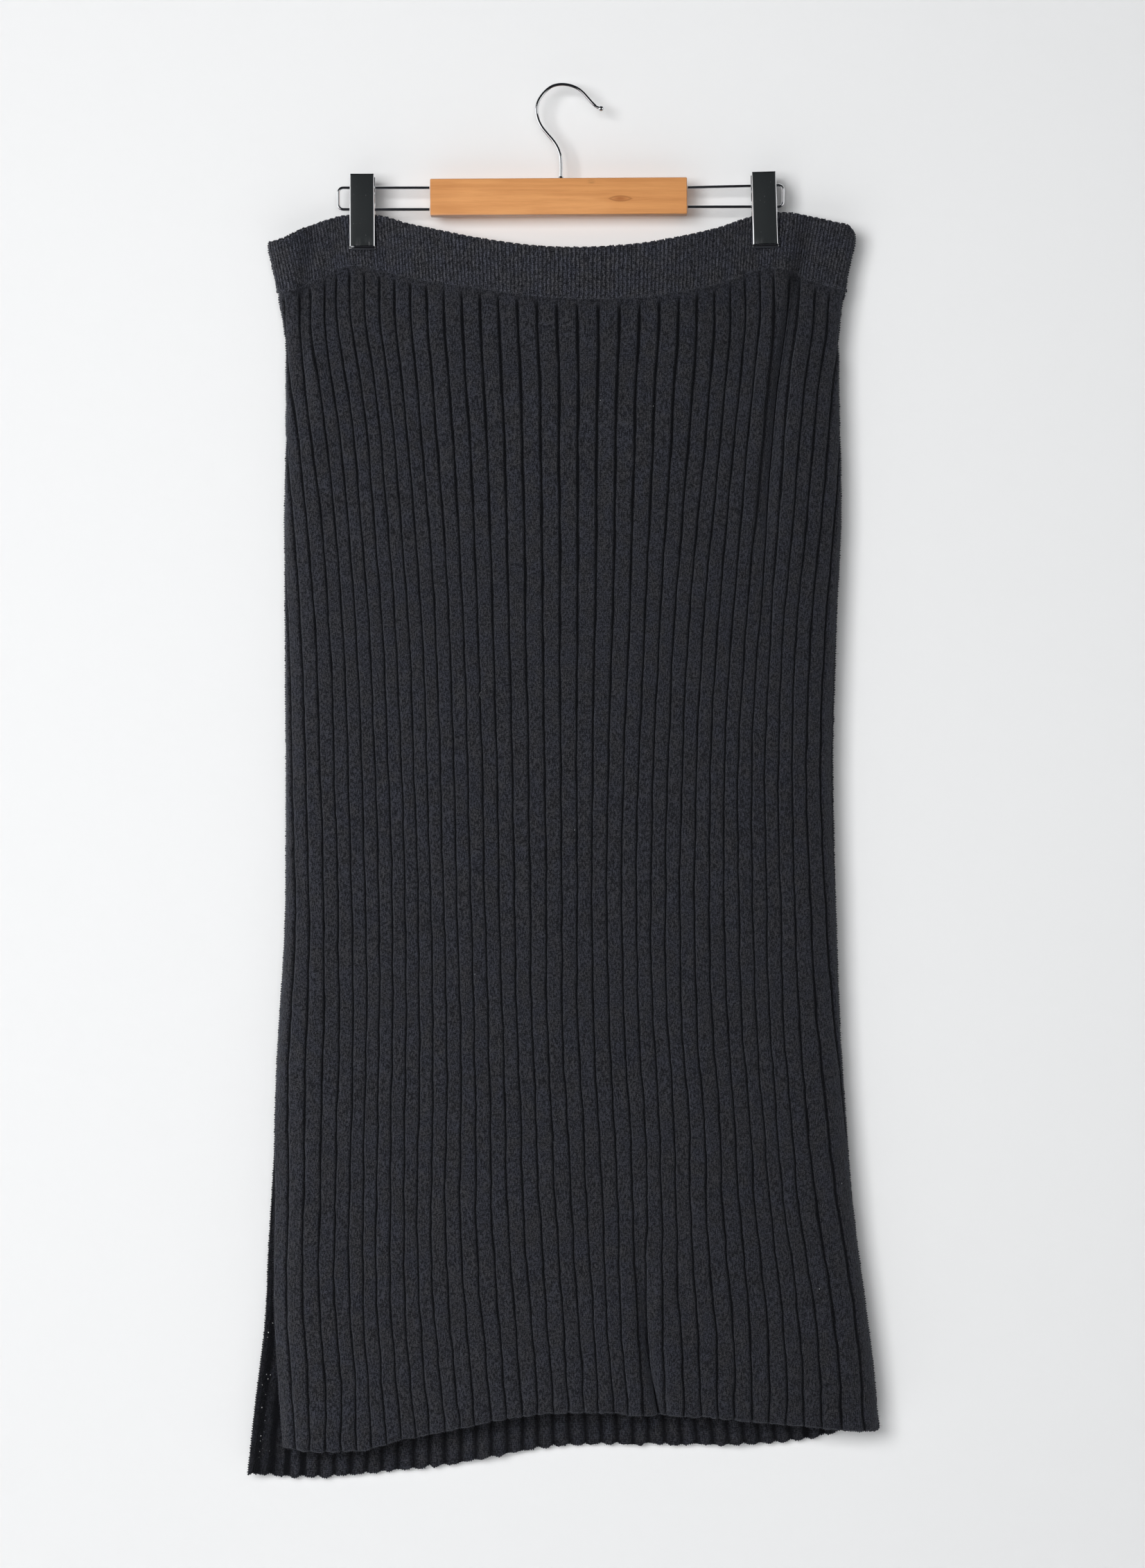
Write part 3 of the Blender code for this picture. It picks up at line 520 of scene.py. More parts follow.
def body_grid(side, settings):
    """Rows of points for a body panel: outer and inner surfaces, rib and course counts, and the yarn's
    painted lightness with painted shade in its grooves and folds.
    """
    back = side == "back"
    lines_at = np.arange(RIBS + 1)
    wander = waves(RIBS + 1, SEED + back, (14.0, 27.0, 55.0, 140.0))
    puff = waves(RIBS, SEED + 20 + back, (15.0, 33.0))
    breathe = waves(RIBS + 1, SEED + 30 + back, (9.0, 23.0, 60.0))
    jags = np.random.default_rng(SEED + 50 + back).normal(0.0, 0.45, 4 * RIBS + 1).clip(-0.8, 0.8)
    phases = np.array([0.0, 0.03, 0.07, 0.12, 0.19, 0.3, 0.5, 0.7, 0.81, 0.88, 0.93, 0.97])
    ribs = np.append((np.arange(RIBS)[:, None] + phases).ravel(), RIBS)
    inner = {float(k) for k in range(RIBS + 1)} | {k + p for k in range(RIBS) for p in (0.2, 0.5, 0.8)}
    inner |= {k + p for k in range(RIBS) if k < 4 or k > RIBS - 5 for p in (0.35, 0.65)}
    if back:
        inner |= {k + p for k in (38, 39) for p in phases}
    inner_ribs = np.array(sorted(inner))
    top = np.array([0.0, 1.5, 3.0, 5.0, 7.5, 10.5, 14.0]) / HEM_LENGTH
    foot = 1 - np.array([12.0, 8.5, 6.0, 4.0, 2.6, 1.5, 0.7, 0.0]) / HEM_LENGTH
    rows = defaultdict(list, ribs=ribs, inner_ribs=inner_ribs)
    flute_depth = settings.flute / MM * (1.0 if back else 0.45)
    for number in np.concatenate([top, np.linspace(top[-1], foot[0], settings.rows)[1:-1], foot]):
        course = Course(float(number))
        z_middle = float(heights(side, np.array([20.0]), number)[0])
        from_hem = (1 - number) * HEM_LENGTH
        grown = smooth(0.0, 0.011, number)
        wide = settings.wobble / MM * (0.5 + 1.1 * number)
        lines = wander(z_middle) * wide
        lines[[0, -1]] = 0.0
        pitch = np.gradient(course.arcs(side, np.arange(RIBS + 1.0)))
        spare = np.clip(0.6 + 0.08 * (pitch - RIB_PITCH), 0.48, 0.92) + 0.17 * breathe(z_middle)
        spare = spare + 0.09 * smooth(0.45, 0.1, number)
        for name, at in (("outer", ribs), ("inner", inner_ribs)):
            spots, out = course.points(side, at, np.interp(at, lines_at, lines))
            rib = np.clip(at.astype(int), 0, RIBS - 1)
            phase = at - np.floor(at)
            near = np.minimum(phase, 1 - phase) * np.interp(at, lines_at, pitch)
            past = near - np.interp(at, lines_at, spare)
            s = np.clip(past / RISE, 0, 1)
            shape = 0.8 * rounded(s) + np.where(phase < 0.5, 0.2, 0.05) * hump(past - RISE, 0.6)
            shape = shape + 0.26 * np.sin(math.pi * phase) * s
            column = np.exp(-((near / 2.9) ** 4))
            slit_side = (at > RIBS - 2.2) & back
            flute = flute_depth * smooth(60.0, 4.0, from_hem) * column * np.where(slit_side, 0.25, 1.0)
            spots = spots - out * flute[:, None]
            if name == "inner":
                spots = spots - out * (0.35 * column * grown)[:, None]
                # The reverse side's painted lightness: light flute columns with painted shade between them.
                rows["inside"].append(column * np.where(slit_side, 0.45, 1.0))
            else:
                deep = GROOVE_WALL + (CROWN_WALL + puff(z_middle)[rib] * 0.09 - GROOVE_WALL) * shape
                swell = 0.12 * hump(from_hem - 4.0, 3.5) * shape
                thick = (SEAM_WALL * (1 - grown) + deep * grown + swell) * rim_round(from_hem, 1.8)
                spots = spots + out * thick[:, None]
                # Painted shade in the grooves and folds, and darker yarn at the seam.
                rows["relief"].append(painted_lightness_of(side, number, spots[:, 0], shape, grown))
            if back:
                scallop = 1.1 * (1 - hump(np.maximum(near - 2.1, 0), 1.2)) + 0.5 * puff(0.0)[rib]
            else:
                scallop = 0.45 * hump(near, 0.9) + 0.3 * puff(0.0)[rib]
            ragged = np.interp(at, np.linspace(0, RIBS, len(jags)), jags) * smooth(5.0, 0.0, from_hem)
            corner = 3.2 * smooth(38.2, 40.0, at) * smooth(16.0, 0.0, from_hem) if back else 0.0
            notch = scallop * smooth(9.0, 0.0, from_hem) + ragged + corner
            tuck = TUCK[name] * smooth(3.0, 0.0, number * HEM_LENGTH)
            up = heights(side, at, number) + notch + tuck
            rows[name].append(np.column_stack([spots, up]))
            rows["uv_" + name].append(np.column_stack([at + RIBS * back, heights(side, at, 0.0) - up]))
    return {key: np.array(value) for key, value in rows.items()}


def band_grid(side):
    """Rows of points for half of the waistband. The counts run on with two wales to a fine rib."""
    back = side == "back"
    fine = RIBS / FINE_RIBS
    lines_at = np.arange(FINE_RIBS + 1)
    phases = np.array([0.0, 0.12, 0.26, 0.38, 0.5, 0.62, 0.74, 0.88])
    ribs = np.append((np.arange(FINE_RIBS)[:, None] + phases).ravel(), FINE_RIBS) * fine
    inner_ribs = lines_at * fine
    wander = waves(FINE_RIBS + 1, SEED + 40 + back, (13.0, 30.0))
    foot = np.array([0.0, 1.2, 2.6, 4.2]) / BAND_SPAN
    top = 1 - np.array([4.2, 2.8, 1.6, 0.8, 0.3, 0.0]) / BAND_SPAN
    rows = defaultdict(list, ribs=ribs, inner_ribs=inner_ribs)
    for number in -np.concatenate([foot, np.linspace(foot[-1], top[0], 22)[1:-1], top]):
        course = Course(float(number))
        from_seam, from_top = -number * BAND_SPAN, (1 + number) * BAND_SPAN
        grown = smooth(0.0, 2.8, from_seam)
        lines = wander(-from_seam) * 0.3
        lines[[0, -1]] = 0.0
        for name, at in (("outer", ribs), ("inner", inner_ribs)):
            count = at / fine
            spots, out = course.points(side, at, np.interp(count, lines_at, lines))
            phase = count - np.floor(count + 1e-9)
            if name == "outer":
                shape = np.abs(np.sin(2 * math.pi * phase)) ** 0.8 * (1 - 0.18 * (phase > 0.5))
                deep = FINE_GROOVE_WALL + (FINE_CROWN_WALL - FINE_GROOVE_WALL) * shape
                thick = (SEAM_WALL * (1 - grown) + deep * grown) * rim_round(from_top, 2.2)
                spots = spots + out * thick[:, None]
                # Painted shade in the fine grooves and folds, and darker yarn at the seam.
                rows["relief"].append(painted_lightness_of(side, number, spots[:, 0], shape, grown))
            else:
                # Painted shade between the reverse side's fine ribs.
                rows["inside"].append(np.where(np.arange(len(at)) % 2, 0.35, 0.75))
            notch = 0.9 * hump(np.minimum(phase, 1 - phase), 0.16) * smooth(4.0, 0.0, from_top)
            up = heights(side, at, number) - notch - TUCK[name] * smooth(3.0, 0.0, from_seam)
            for at_x, reach, lift in TOP_LIFTS:
                up = up + lift * hump(spots[:, 0] - at_x, reach) * smooth(0.5, 1.0, -number)
            rows[name].append(np.column_stack([spots, up]))
            counts = count + FINE_RIBS * back
            rows["uv_" + name].append(np.column_stack([counts, heights(side, at, 0.0) - up]))
    return {key: np.array(value) for key, value in rows.items()}


def zip_rim(a, a_at, b, b_at):
    """Triangles between two rows of points that run side by side."""
    faces = []
    i = j = 0
    while i < len(a) - 1 or j < len(b) - 1:
        if i < len(a) - 1 and (j == len(b) - 1 or a_at[i + 1] <= b_at[j + 1]):
            faces.append((a[i], a[i + 1], b[j]))
            i += 1
        else:
            faces.append((a[i], b[j + 1], b[j]))
            j += 1
    return faces


def grid_faces(rows, columns, base=0):
    r, k = np.meshgrid(np.arange(rows - 1), np.arange(columns - 1), indexing="ij")
    a = (base + r * columns + k).ravel()
    return np.stack([a, a + 1, a + columns + 1, a + columns], 1)


def pierce(points, uv, relief, outer_faces, inner_faces, holes):
    """Opens small round holes through both layers of a wall, each inside one pair of faces."""
    tube = []
    cut = {"outer": set(), "inner": set()}
    added = {"outer": [], "inner": []}
    sheets = {}
    for layer, faces in (("outer", outer_faces), ("inner", inner_faces)):
        first = points[faces[:, 0]]
        across, down = points[faces[:, 1]] - first, points[faces[:, 3]] - first
        area = across[:, 0] * down[:, 2] - across[:, 2] * down[:, 0]
        area = np.where(np.abs(area) < 1e-6, 1e-6, area)
        slim = np.linalg.norm(across, axis=1) < SLIM_FACE
        sheets[layer] = (faces, first, across, down, area, slim, PINHOLE_SIGHT[layer])

    def under(layer, x, z):
        """The face at a place that the lens sees: how far from its middle, its number and the place in it."""
        faces, first, across, down, area, slim, sight = sheets[layer]
        to_x, to_z = x + sight[0] - first[:, 0], z + sight[1] - first[:, 2]
        u = (to_x * down[:, 2] - to_z * down[:, 0]) / area
        v = (across[:, 0] * to_z - across[:, 2] * to_x) / area
        off = np.maximum(np.abs(u - 0.5), np.abs(v - 0.5)) + slim
        off[list(cut[layer])] = 1e9
        f = int(np.argmin(off))
        return off[f], f, u[f], v[f]

    for x, z, radius in holes:
        tries = []
        for dx in (0.0, -0.45, 0.45, -0.9, 0.9):
            for dz in (0.0, -1.2, 1.2):
                picks = {layer: under(layer, x + dx, z + dz) for layer in sheets}
                off = max(pick[0] for pick in picks.values()) + 0.15 * math.hypot(dx, dz)
                tries.append((off, len(tries), picks))
        picks = min(tries)[2]
        rings = []
        for layer in ("outer", "inner"):
            faces, first, across, down = sheets[layer][:4]
            _, f, u, v = picks[layer]
            cut[layer].add(f)
            corners = faces[f]
            u, v = float(np.clip(u, 0.2, 0.8)), float(np.clip(v, 0.1, 0.9))
            across, down = across[f], down[f]
            middle = first[f] + across * u + down * v
            wide = min(radius / np.linalg.norm(across), 0.9 * min(u, 1 - u))
            tall = min(radius / np.linalg.norm(down), 0.9 * min(v, 1 - v))
            ring = []
            for k in range(8):
                turn = math.pi / 4 * (k - 3.5)
                ring.append(len(points))
                point = middle + across * wide * math.cos(turn) + down * tall * math.sin(turn)
                points = np.vstack([points, point])
                uv = np.vstack([uv, uv[corners].mean(0)])
                relief = np.append(relief, relief[corners].mean())
            for c in range(4):
                a, b = ring[2 * c], ring[2 * c + 1]
                after = ring[(2 * c + 2) % 8]
                added[layer].append((corners[c], a, b))
                added[layer].append((corners[c], b, after, corners[(c + 1) % 4]))
            rings.append(ring)
        for k in range(8):
            tube.append((rings[0][k], rings[0][(k + 1) % 8], rings[1][(k + 1) % 8], rings[1][k]))
    outer, inner = (
        [f for i, f in enumerate(sheets[layer][0]) if i not in cut[layer]] + added[layer] for layer in sheets
    )
    return points, uv, relief, outer, inner + tube


def new_object(name, data):
    made = bpy.data.objects.new(name, data)
    bpy.context.scene.collection.objects.link(made)
    return made


def plain_object(name, points, faces, *looks):
    """A smooth mesh in millimetres, with its faces turned outwards."""
    mesh = bpy.data.meshes.new(name)
    mesh.from_pydata((np.asarray(points) * MM).tolist(), [], faces)
    work = bmesh.new()
    work.from_mesh(mesh)
    bmesh.ops.recalc_face_normals(work, faces=work.faces)
    work.to_mesh(mesh)
    work.free()
    mesh.polygons.foreach_set("use_smooth", np.ones(len(faces), bool))
    for look in looks:
        mesh.materials.append(look)
    return new_object(name, mesh)


def knit_shell(name, grid, looks, holes=()):
    """Closes the two layers of a wall into one mesh with stitch counts as its UV map."""
    rows, out_count = grid["outer"].shape[:2]
    in_count = grid["inner"].shape[1]
    base = rows * out_count
    points = np.vstack([grid["outer"].reshape(-1, 3), grid["inner"].reshape(-1, 3)])
    uv = np.vstack([grid["uv_outer"].reshape(-1, 2), grid["uv_inner"].reshape(-1, 2)])
    relief = np.concatenate([grid["relief"].ravel(), grid["inside"].ravel()])
    outer = grid_faces(rows, out_count)
    inner = grid_faces(rows, in_count, base)
    if holes:
        points, uv, relief, outer, inner = pierce(points, uv, relief, outer, inner, holes)
    rims = []
    for r in range(rows - 1):
        a, b = r * out_count, base + r * in_count
        rims.append((a, a + out_count, b + in_count, b))
        a, b = a + out_count - 1, b + in_count - 1
        rims.append((a, b, b + in_count, a + out_count))
    for r in (0, rows - 1):
        out_row = [r * out_count + k for k in range(out_count)]
        in_row = [base + r * in_count + k for k in range(in_count)]
        rims += zip_rim(out_row, grid["ribs"], in_row, grid["inner_ribs"])
    faces = [tuple(int(v) for v in face) for face in (*outer, *rims, *inner)]
    made = plain_object(name, points, faces, *looks)
    mesh = made.data
    side = np.zeros(len(faces), np.int32)
    side[len(outer) + len(rims):] = 1
    mesh.polygons.foreach_set("material_index", side)
    corner = np.zeros(len(mesh.loops), np.int32)
    mesh.loops.foreach_get("vertex_index", corner)
    layer = mesh.uv_layers.new(name="stitches")
    layer.data.foreach_set("uv", uv[corner].astype(np.float32).ravel())
    # Painted lightness at each point: painted shade in the grooves, the folds and between the reverse side's
    # flutes.
    mark = mesh.attributes.new("relief", "FLOAT", "POINT")
    mark.data.foreach_set("value", relief.astype(np.float32))
    return made


def finish_piece(piece, *nodes):
    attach(piece, BODY)
    if nodes:
        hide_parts(*nodes)


# Materials


def opaque(colour, gain=1.0):
    return tuple(c * gain for c in colour) + (1.0,)


class Tree:
    """Short ways to add nodes to a material or a group."""

    def __init__(self, tree):
        self.tree = tree

    def feed(self, node, values):
        """Gives inputs, by name or number, a link or a constant of their own."""
        for key, value in values.items():
            if isinstance(value, bpy.types.NodeSocket):
                self.tree.links.new(value, node.inputs[key])
            else:
                node.inputs[key].default_value = value

    def node(self, kind, inputs=None, **settings):
        made = self.tree.nodes.new(kind)
        for key, value in settings.items():
            setattr(made, key, value)
        self.feed(made, inputs or {})
        return made

    def math(self, operation, a, b=0.0):
        return self.node("ShaderNodeMath", {0: a, 1: b, 2: 0.0}, operation=operation).outputs[0]

    def times(self, value, *factors):
        for factor in factors:
            value = self.math("MULTIPLY", value, factor)
        return value

    def plus(self, a, b):
        return self.math("ADD", a, b)

    def less(self, a, b):
        return self.math("SUBTRACT", a, b)

    def split(self, vector):
        return self.node("ShaderNodeSeparateXYZ", {0: vector}).outputs

    def span(self, value, low, high, to_low=0.0, to_high=1.0, smoothly=True):
        ends = {"Value": value, "From Min": low, "From Max": high, "To Min": to_low, "To Max": to_high}
        kind = "SMOOTHSTEP" if smoothly else "LINEAR"
        return self.node("ShaderNodeMapRange", ends, interpolation_type=kind).outputs["Result"]

    def mix(self, share, a, b):
        return self.node("ShaderNodeMix", {"Factor": share, 6: a, 7: b}, data_type="RGBA").outputs[2]

    def noise(self, vector, scale, detail=2.0, rough=0.5):
        inputs = {"Vector": vector, "Scale": scale, "Detail": detail, "Roughness": rough}
        return self.node("ShaderNodeTexNoise", inputs).outputs["Fac"]

    def placed(self, vector, scale):
        return self.node("ShaderNodeMapping", {"Vector": vector, "Scale": scale}).outputs[0]

    def bump(self, height, strength, distance):
        inputs = {"Height": height, "Strength": strength, "Distance": distance}
        return self.node("ShaderNodeBump", inputs).outputs[0]


def new_group(name, kind, inputs, outputs):
    """A node group with named sockets: its builder, inputs, output node and inputs' identifiers."""
    tree = bpy.data.node_groups.new(name, kind)
    add, ids = tree.interface.new_socket, {}
    for label, socket in inputs.items():
        ids[label] = add(label, in_out="INPUT", socket_type="NodeSocket" + socket).identifier
    for label, socket in outputs.items():
        add(label, in_out="OUTPUT", socket_type="NodeSocket" + socket)
    build = Tree(tree)
    return build, build.node("NodeGroupInput").outputs, build.node("NodeGroupOutput"), ids


def stitch_group():
    """Chevron legs of plain knit on stitch counts, with soft yarn fuzz over them."""
    build, given, out, _ = new_group(
        "knit_stitches",
        "ShaderNodeTree",
        {"Counts": "Vector", "Place": "Vector", "Wales": "Float", "Courses": "Float", "Slant": "Float"},
        {"Height": "Float", "Tone": "Float"},
    )
    u, v, _ = build.split(given["Counts"])
    jitter = build.noise(given["Place"], 260.0, 1.0)
    wale = build.plus(build.times(u, given["Wales"]), build.times(jitter, 0.35))
    course = build.plus(build.times(v, given["Courses"]), build.times(jitter, 1.1))
    across = build.math("ABSOLUTE", build.less(build.times(build.math("FRACT", wale), 2.0), 1.0))
    slanted = build.plus(course, build.times(across, given["Slant"]))
    leg = build.math("SINE", build.times(build.math("FRACT", slanted), math.pi))
    side = build.math("SINE", build.times(across, math.pi))
    shape = build.times(build.math("POWER", leg, 0.6), build.plus(build.times(side, 0.65), 0.35))
    tall = build.placed(given["Place"], (1.0, 1.0, 0.5))
    grain = build.span(build.noise(tall, 1200.0, 1.5, 0.6), 0.36, 0.64)
    coarse = build.span(build.noise(tall, 520.0, 2.0, 0.6), 0.32, 0.68)
    fuzz = build.plus(build.times(grain, 0.76), build.times(coarse, 0.24))
    height = build.plus(build.times(shape, 0.44), build.times(fuzz, 0.56))
    build.feed(out, {"Height": height, "Tone": build.span(height, 0.15, 0.85, 0.0, 1.0, False)})
    return build.tree


def wear_group():
    """Slow drift of tone over a whole piece, and a finer mottle."""
    build, given, out, _ = new_group(
        "slow_drift",
        "ShaderNodeTree",
        {"Place": "Vector", "Scale": "Float"},
        {"Drift": "Float", "Mottle": "Float"},
    )
    scaled = build.node("ShaderNodeVectorMath", operation="SCALE")
    build.feed(scaled, {0: given["Place"], "Scale": given["Scale"]})
    for label, scale, detail in (("Drift", 1.0, 3.0), ("Mottle", 9.0, 2.0)):
        build.feed(out, {label: build.span(build.noise(scaled.outputs[0], scale, detail), 0.32, 0.68)})
    return build.tree


def new_material(name):
    made = bpy.data.materials.new(name)
    made.use_nodes = True
    build = Tree(made.node_tree)
    place = build.node("ShaderNodeTexCoord").outputs["Object"]
    return made, build, made.node_tree.nodes["Principled BSDF"], place


def knit_material(name, groups, settings, wales, courses, slant, lift, gain=1.0, painted_shade_from=-0.05):
    """Charcoal knit: stitch legs and fuzz, painted shade in the grooves and folds, a little lighter on the
    crowns, and a painted falloff from light at the left to dark at the right.
    """
    made, build, shader, place = new_material(name)
    counts = build.node("ShaderNodeUVMap", uv_map="stitches").outputs[0]
    inputs = {"Counts": counts, "Place": place, "Wales": wales, "Courses": courses, "Slant": slant}
    stitches = build.node("ShaderNodeGroup", inputs, node_tree=groups["stitch"]).outputs
    drift = build.node("ShaderNodeGroup", {"Place": place, "Scale": 9.0}, node_tree=groups["drift"]).outputs
    yarn = opaque(settings.yarn, gain)
    warm, cool = (
        opaque(c * k for c, k in zip(yarn, tint)) for tint in ((1.02, 1.0, 0.94), (0.95, 0.985, 1.09))
    )
    dyed = build.mix(drift["Mottle"], warm, cool)
    dyed = build.mix(build.times(drift["Drift"], 0.35), dyed, yarn)
    # Painted light falloff: the knit is painted lighter at the left, towards the key light, and darker at the
    # right.
    painted_falloff = build.span(build.split(place)[0], -0.22, 0.22, 1.0, 0.74, False)
    tone = build.times(build.math("POWER", stitches["Tone"], 1.5), painted_falloff)
    relief = build.node("ShaderNodeAttribute", attribute_name="relief").outputs["Fac"]
    colour = build.mix(tone, opaque(settings.shade), dyed)
    # Painted shade: the yarn turns darker where the painted lightness is low.
    colour = build.mix(build.span(relief, painted_shade_from, 0.9), opaque(settings.shade, 0.6), colour)
    build.feed(shader, {
        "Base Color": colour,
        "Roughness": build.span(stitches["Tone"], 0.0, 1.0, 0.98, 0.86, False),
        "Normal": build.bump(stitches["Height"], 0.85, lift),
        "Specular IOR Level": 0.18,
        "Sheen Weight": 0.12,
        "Sheen Roughness": 0.45,
        "Sheen Tint": (0.75, 0.8, 0.95, 1.0),
    })
    return made


def fibre_material(name, colour):
    made, build, shader, place = new_material(name)
    drift = build.span(build.noise(place, 140.0, 1.0), 0.3, 0.7)
    tint = build.mix(drift, opaque(colour, 0.55), opaque(colour))
    build.feed(shader, {"Base Color": tint, "Roughness": 0.9, "Specular IOR Level": 0.15})
    return made


def chrome_material(settings):
    """Bright plating with faint haze and hairline scratches."""
    made, build, shader, place = new_material("bright_chrome")
    haze = build.noise(place, 60.0, 3.0)
    scratch = build.noise(build.placed(place, (40, 900, 900)), 1.0, 4.0, 0.7)
    tint = build.mix(build.span(haze, 0.35, 0.7), opaque(settings.chrome), opaque(settings.chrome, 0.9))
    build.feed(shader, {
        "Base Color": tint,
        "Roughness": build.span(haze, 0.3, 0.75, 0.05, 0.13),
        "Normal": build.bump(scratch, 0.04, 0.0001),
        "Metallic": 1.0,
    })
    return made


def black_material():
    """Gloss black facing, lighter and rougher in patches near its foot, with specks of dust."""
    made, build, shader, place = new_material("gloss_black")
    smear = build.noise(build.placed(place, (160, 160, 40)), 1.0, 4.0, 0.65)
    dust = build.noise(place, 900.0, 1.0)
    low = build.span(build.split(place)[2], -0.108, -0.117)
    # Lighter, rougher patches in the facing near its foot.
    foot_patch = build.times(build.span(smear, 0.45, 0.7), low)
    colour = build.mix(foot_patch, (0.020, 0.0225, 0.0235, 1.0), (0.06, 0.062, 0.065, 1.0))
    colour = build.mix(build.span(dust, 0.74, 0.8), colour, (0.12, 0.12, 0.12, 1.0))
    rough = build.plus(0.16, build.times(foot_patch, 0.25))
    build.feed(shader, {"Base Color": colour, "Roughness": rough, "Specular IOR Level": 0.45})
    return made


def rubber_material():
    made, build, shader, place = new_material("grip_rubber")
    grain = build.noise(place, 1500.0, 2.0)
    colour = build.mix(build.span(grain, 0.3, 0.7), (0.07, 0.075, 0.08, 1.0), (0.12, 0.125, 0.13, 1.0))
    build.feed(shader, {"Base Color": colour, "Roughness": 0.75, "Normal": build.bump(grain, 0.5, 0.0002)})
    return made


def wood_material(settings):
    """Orange-brown softwood: long grain, a lens-shaped knot, pores, a small bruise and a pinkish painted
    light on its underside.
    """
    made, build, shader, place = new_material("bar_wood")
    x, y, z = build.split(place)

    def spot(cx, cz, rx, rz):
        """Distance from a place on the bar, 1 at the rim of an oval."""
        dx = build.math("DIVIDE", build.less(x, cx * MM), rx * MM)
        dz = build.math("DIVIDE", build.less(z, cz * MM), rz * MM)
        return build.math("SQRT", build.plus(build.times(dx, dx), build.times(dz, dz)))

    knot = spot(43.5, -81.8, 9.0, 3.0)
    push = build.times(build.math("POWER", 2.718, build.times(knot, knot, -0.45)), 0.0022)
    above = build.math("SIGN", build.less(z, -81.8 * MM))
    bent = build.less(z, build.times(above, push))
    run = {0: build.times(x, 9.0), 1: build.times(y, 90.0), 2: build.times(bent, 230.0)}
    grain = build.noise(build.node("ShaderNodeCombineXYZ", run).outputs[0], 1.0, 5.0, 0.6)
    fine = build.noise(build.placed(place, (70, 900, 2600)), 1.0, 3.0, 0.6)
    cloud = build.noise(build.placed(place, (18, 18, 45)), 1.0, 2.0)
    colour, dark = opaque(settings.wood), opaque(settings.wood_dark)
    for value, low, high, share in (
        (grain, 0.40, 0.72, 0.5), (fine, 0.45, 0.75, 0.36), (cloud, 0.45, 0.75, 0.3), (x, 0.02, 0.09, 0.22)
    ):
        colour = build.mix(build.span(value, low, high, 0.0, share), colour, dark)
    centre = build.span(spot(42.3, -81.9, 6.4, 2.4), 0.1, 1.1, 0.75, 0.0)
    halo = build.span(spot(43.0, -82.0, 26.0, 3.4), 0.1, 1.0, 0.42, 0.0)
    ruffle = build.times(build.less(cloud, 0.5), 0.2)
    lens, under = (build.plus(spot(42.6, middle, 9.5, 4.3), ruffle) for middle in (-79.4, -84.4))
    eye = build.math("MAXIMUM", lens, under)
    ring = build.times(build.span(eye, 0.82, 0.97), build.span(eye, 1.16, 1.0))
    bruise = build.span(spot(21.5, -69.5, 3.6, 2.0), 0.3, 1.1, 0.5, 0.0)
    bruise = build.times(bruise, build.span(fine, 0.35, 0.6))
    # Painted light: a pinkish glow of reflected light on the bar's underside.
    painted_light_underside = build.span(build.times(z, -1.0), 0.0926, 0.0936, 0.0, 0.3)
    for share, tint in (
        (halo, dark),
        (centre, (0.33, 0.11, 0.035, 1.0)),
        (build.times(ring, 0.42), (0.20, 0.065, 0.018, 1.0)),
        (bruise, (0.26, 0.13, 0.05, 1.0)),
        (painted_light_underside, (0.62, 0.38, 0.30, 1.0)),
    ):
        colour = build.mix(share, colour, tint)
    build.feed(shader, {
        "Base Color": colour,
        "Roughness": build.span(grain, 0.3, 0.8, 0.38, 0.55),
        "Normal": build.bump(build.plus(grain, fine), 0.35, 0.00015),
        "Specular IOR Level": 0.3,
    })
    return made


LOOKS = {}


def make_looks(context):
    knit, hanger = context.scene.skirt_knit, context.scene.skirt_hanger
    groups = {"stitch": stitch_group(), "drift": wear_group()}
    courses, wales = MM / knit.course, float(knit.wales)
    LOOKS["body"] = knit_material("rib_knit", groups, knit, wales, courses, 0.62, 0.0008, 1.1)
    LOOKS["band"] = knit_material("fine_rib_knit", groups, knit, 2.0, courses, 0.55, 0.0006, 1.85, -0.3)
    LOOKS["inside"] = knit_material("reverse_knit", groups, knit, wales, courses, -0.3, 0.0006, 1.0, -0.12)
    LOOKS["fuzz"] = fibre_material("yarn_fuzz", (0.05, 0.052, 0.062))
    LOOKS["edge"] = fibre_material("edge_yarn", (0.03, 0.031, 0.038))
    LOOKS["lint"] = fibre_material("pale_lint", (0.42, 0.43, 0.45))
    LOOKS["chrome"] = chrome_material(hanger)
    LOOKS["black"] = black_material()
    LOOKS["rubber"] = rubber_material()
    LOOKS["wood"] = wood_material(hanger)


GRIDS = {}


class SKIRT_OT_body(bpy.types.Operator):
    """Make the front and back panels of wide flat ribs"""

    bl_idname = "skirt.add_body"
    bl_label = "Body panels"

    def execute(self, context):
        settings = context.scene.skirt_knit
        for side in ("front", "back"):
            grid = GRIDS[side] = body_grid(side, settings)
            holes = PINHOLES if side == "back" else ()
            piece = knit_shell(f"rib_knit_{side}", grid, (LOOKS["body"], LOOKS["inside"]), holes)
            finish_piece(piece, f"{side}_panel")
        return {"FINISHED"}


class SKIRT_OT_band(bpy.types.Operator):
    """Make the two halves of the waistband in fine rib"""

    bl_idname = "skirt.add_band"
    bl_label = "Waistband"

    def execute(self, context):
        for side in ("front", "back"):
            grid = GRIDS["band_" + side] = band_grid(side)
            piece = knit_shell(f"waistband_knit_{side}", grid, (LOOKS["band"], LOOKS["inside"]))
            finish_piece(piece, f"waistband_{side}")
        return {"FINISHED"}


# Geometry Nodes


def random_vector(build, low, high, seed):
    made = build.node("FunctionNodeRandomValue", data_type="FLOAT_VECTOR")
    build.feed(made, {0: low, 1: high, "Seed": seed})
    return made.outputs[0]


def modifier_group(name, inputs):
    return new_group(name, "GeometryNodeTree", {"Geometry": "Geometry", **inputs}, {"Geometry": "Geometry"})


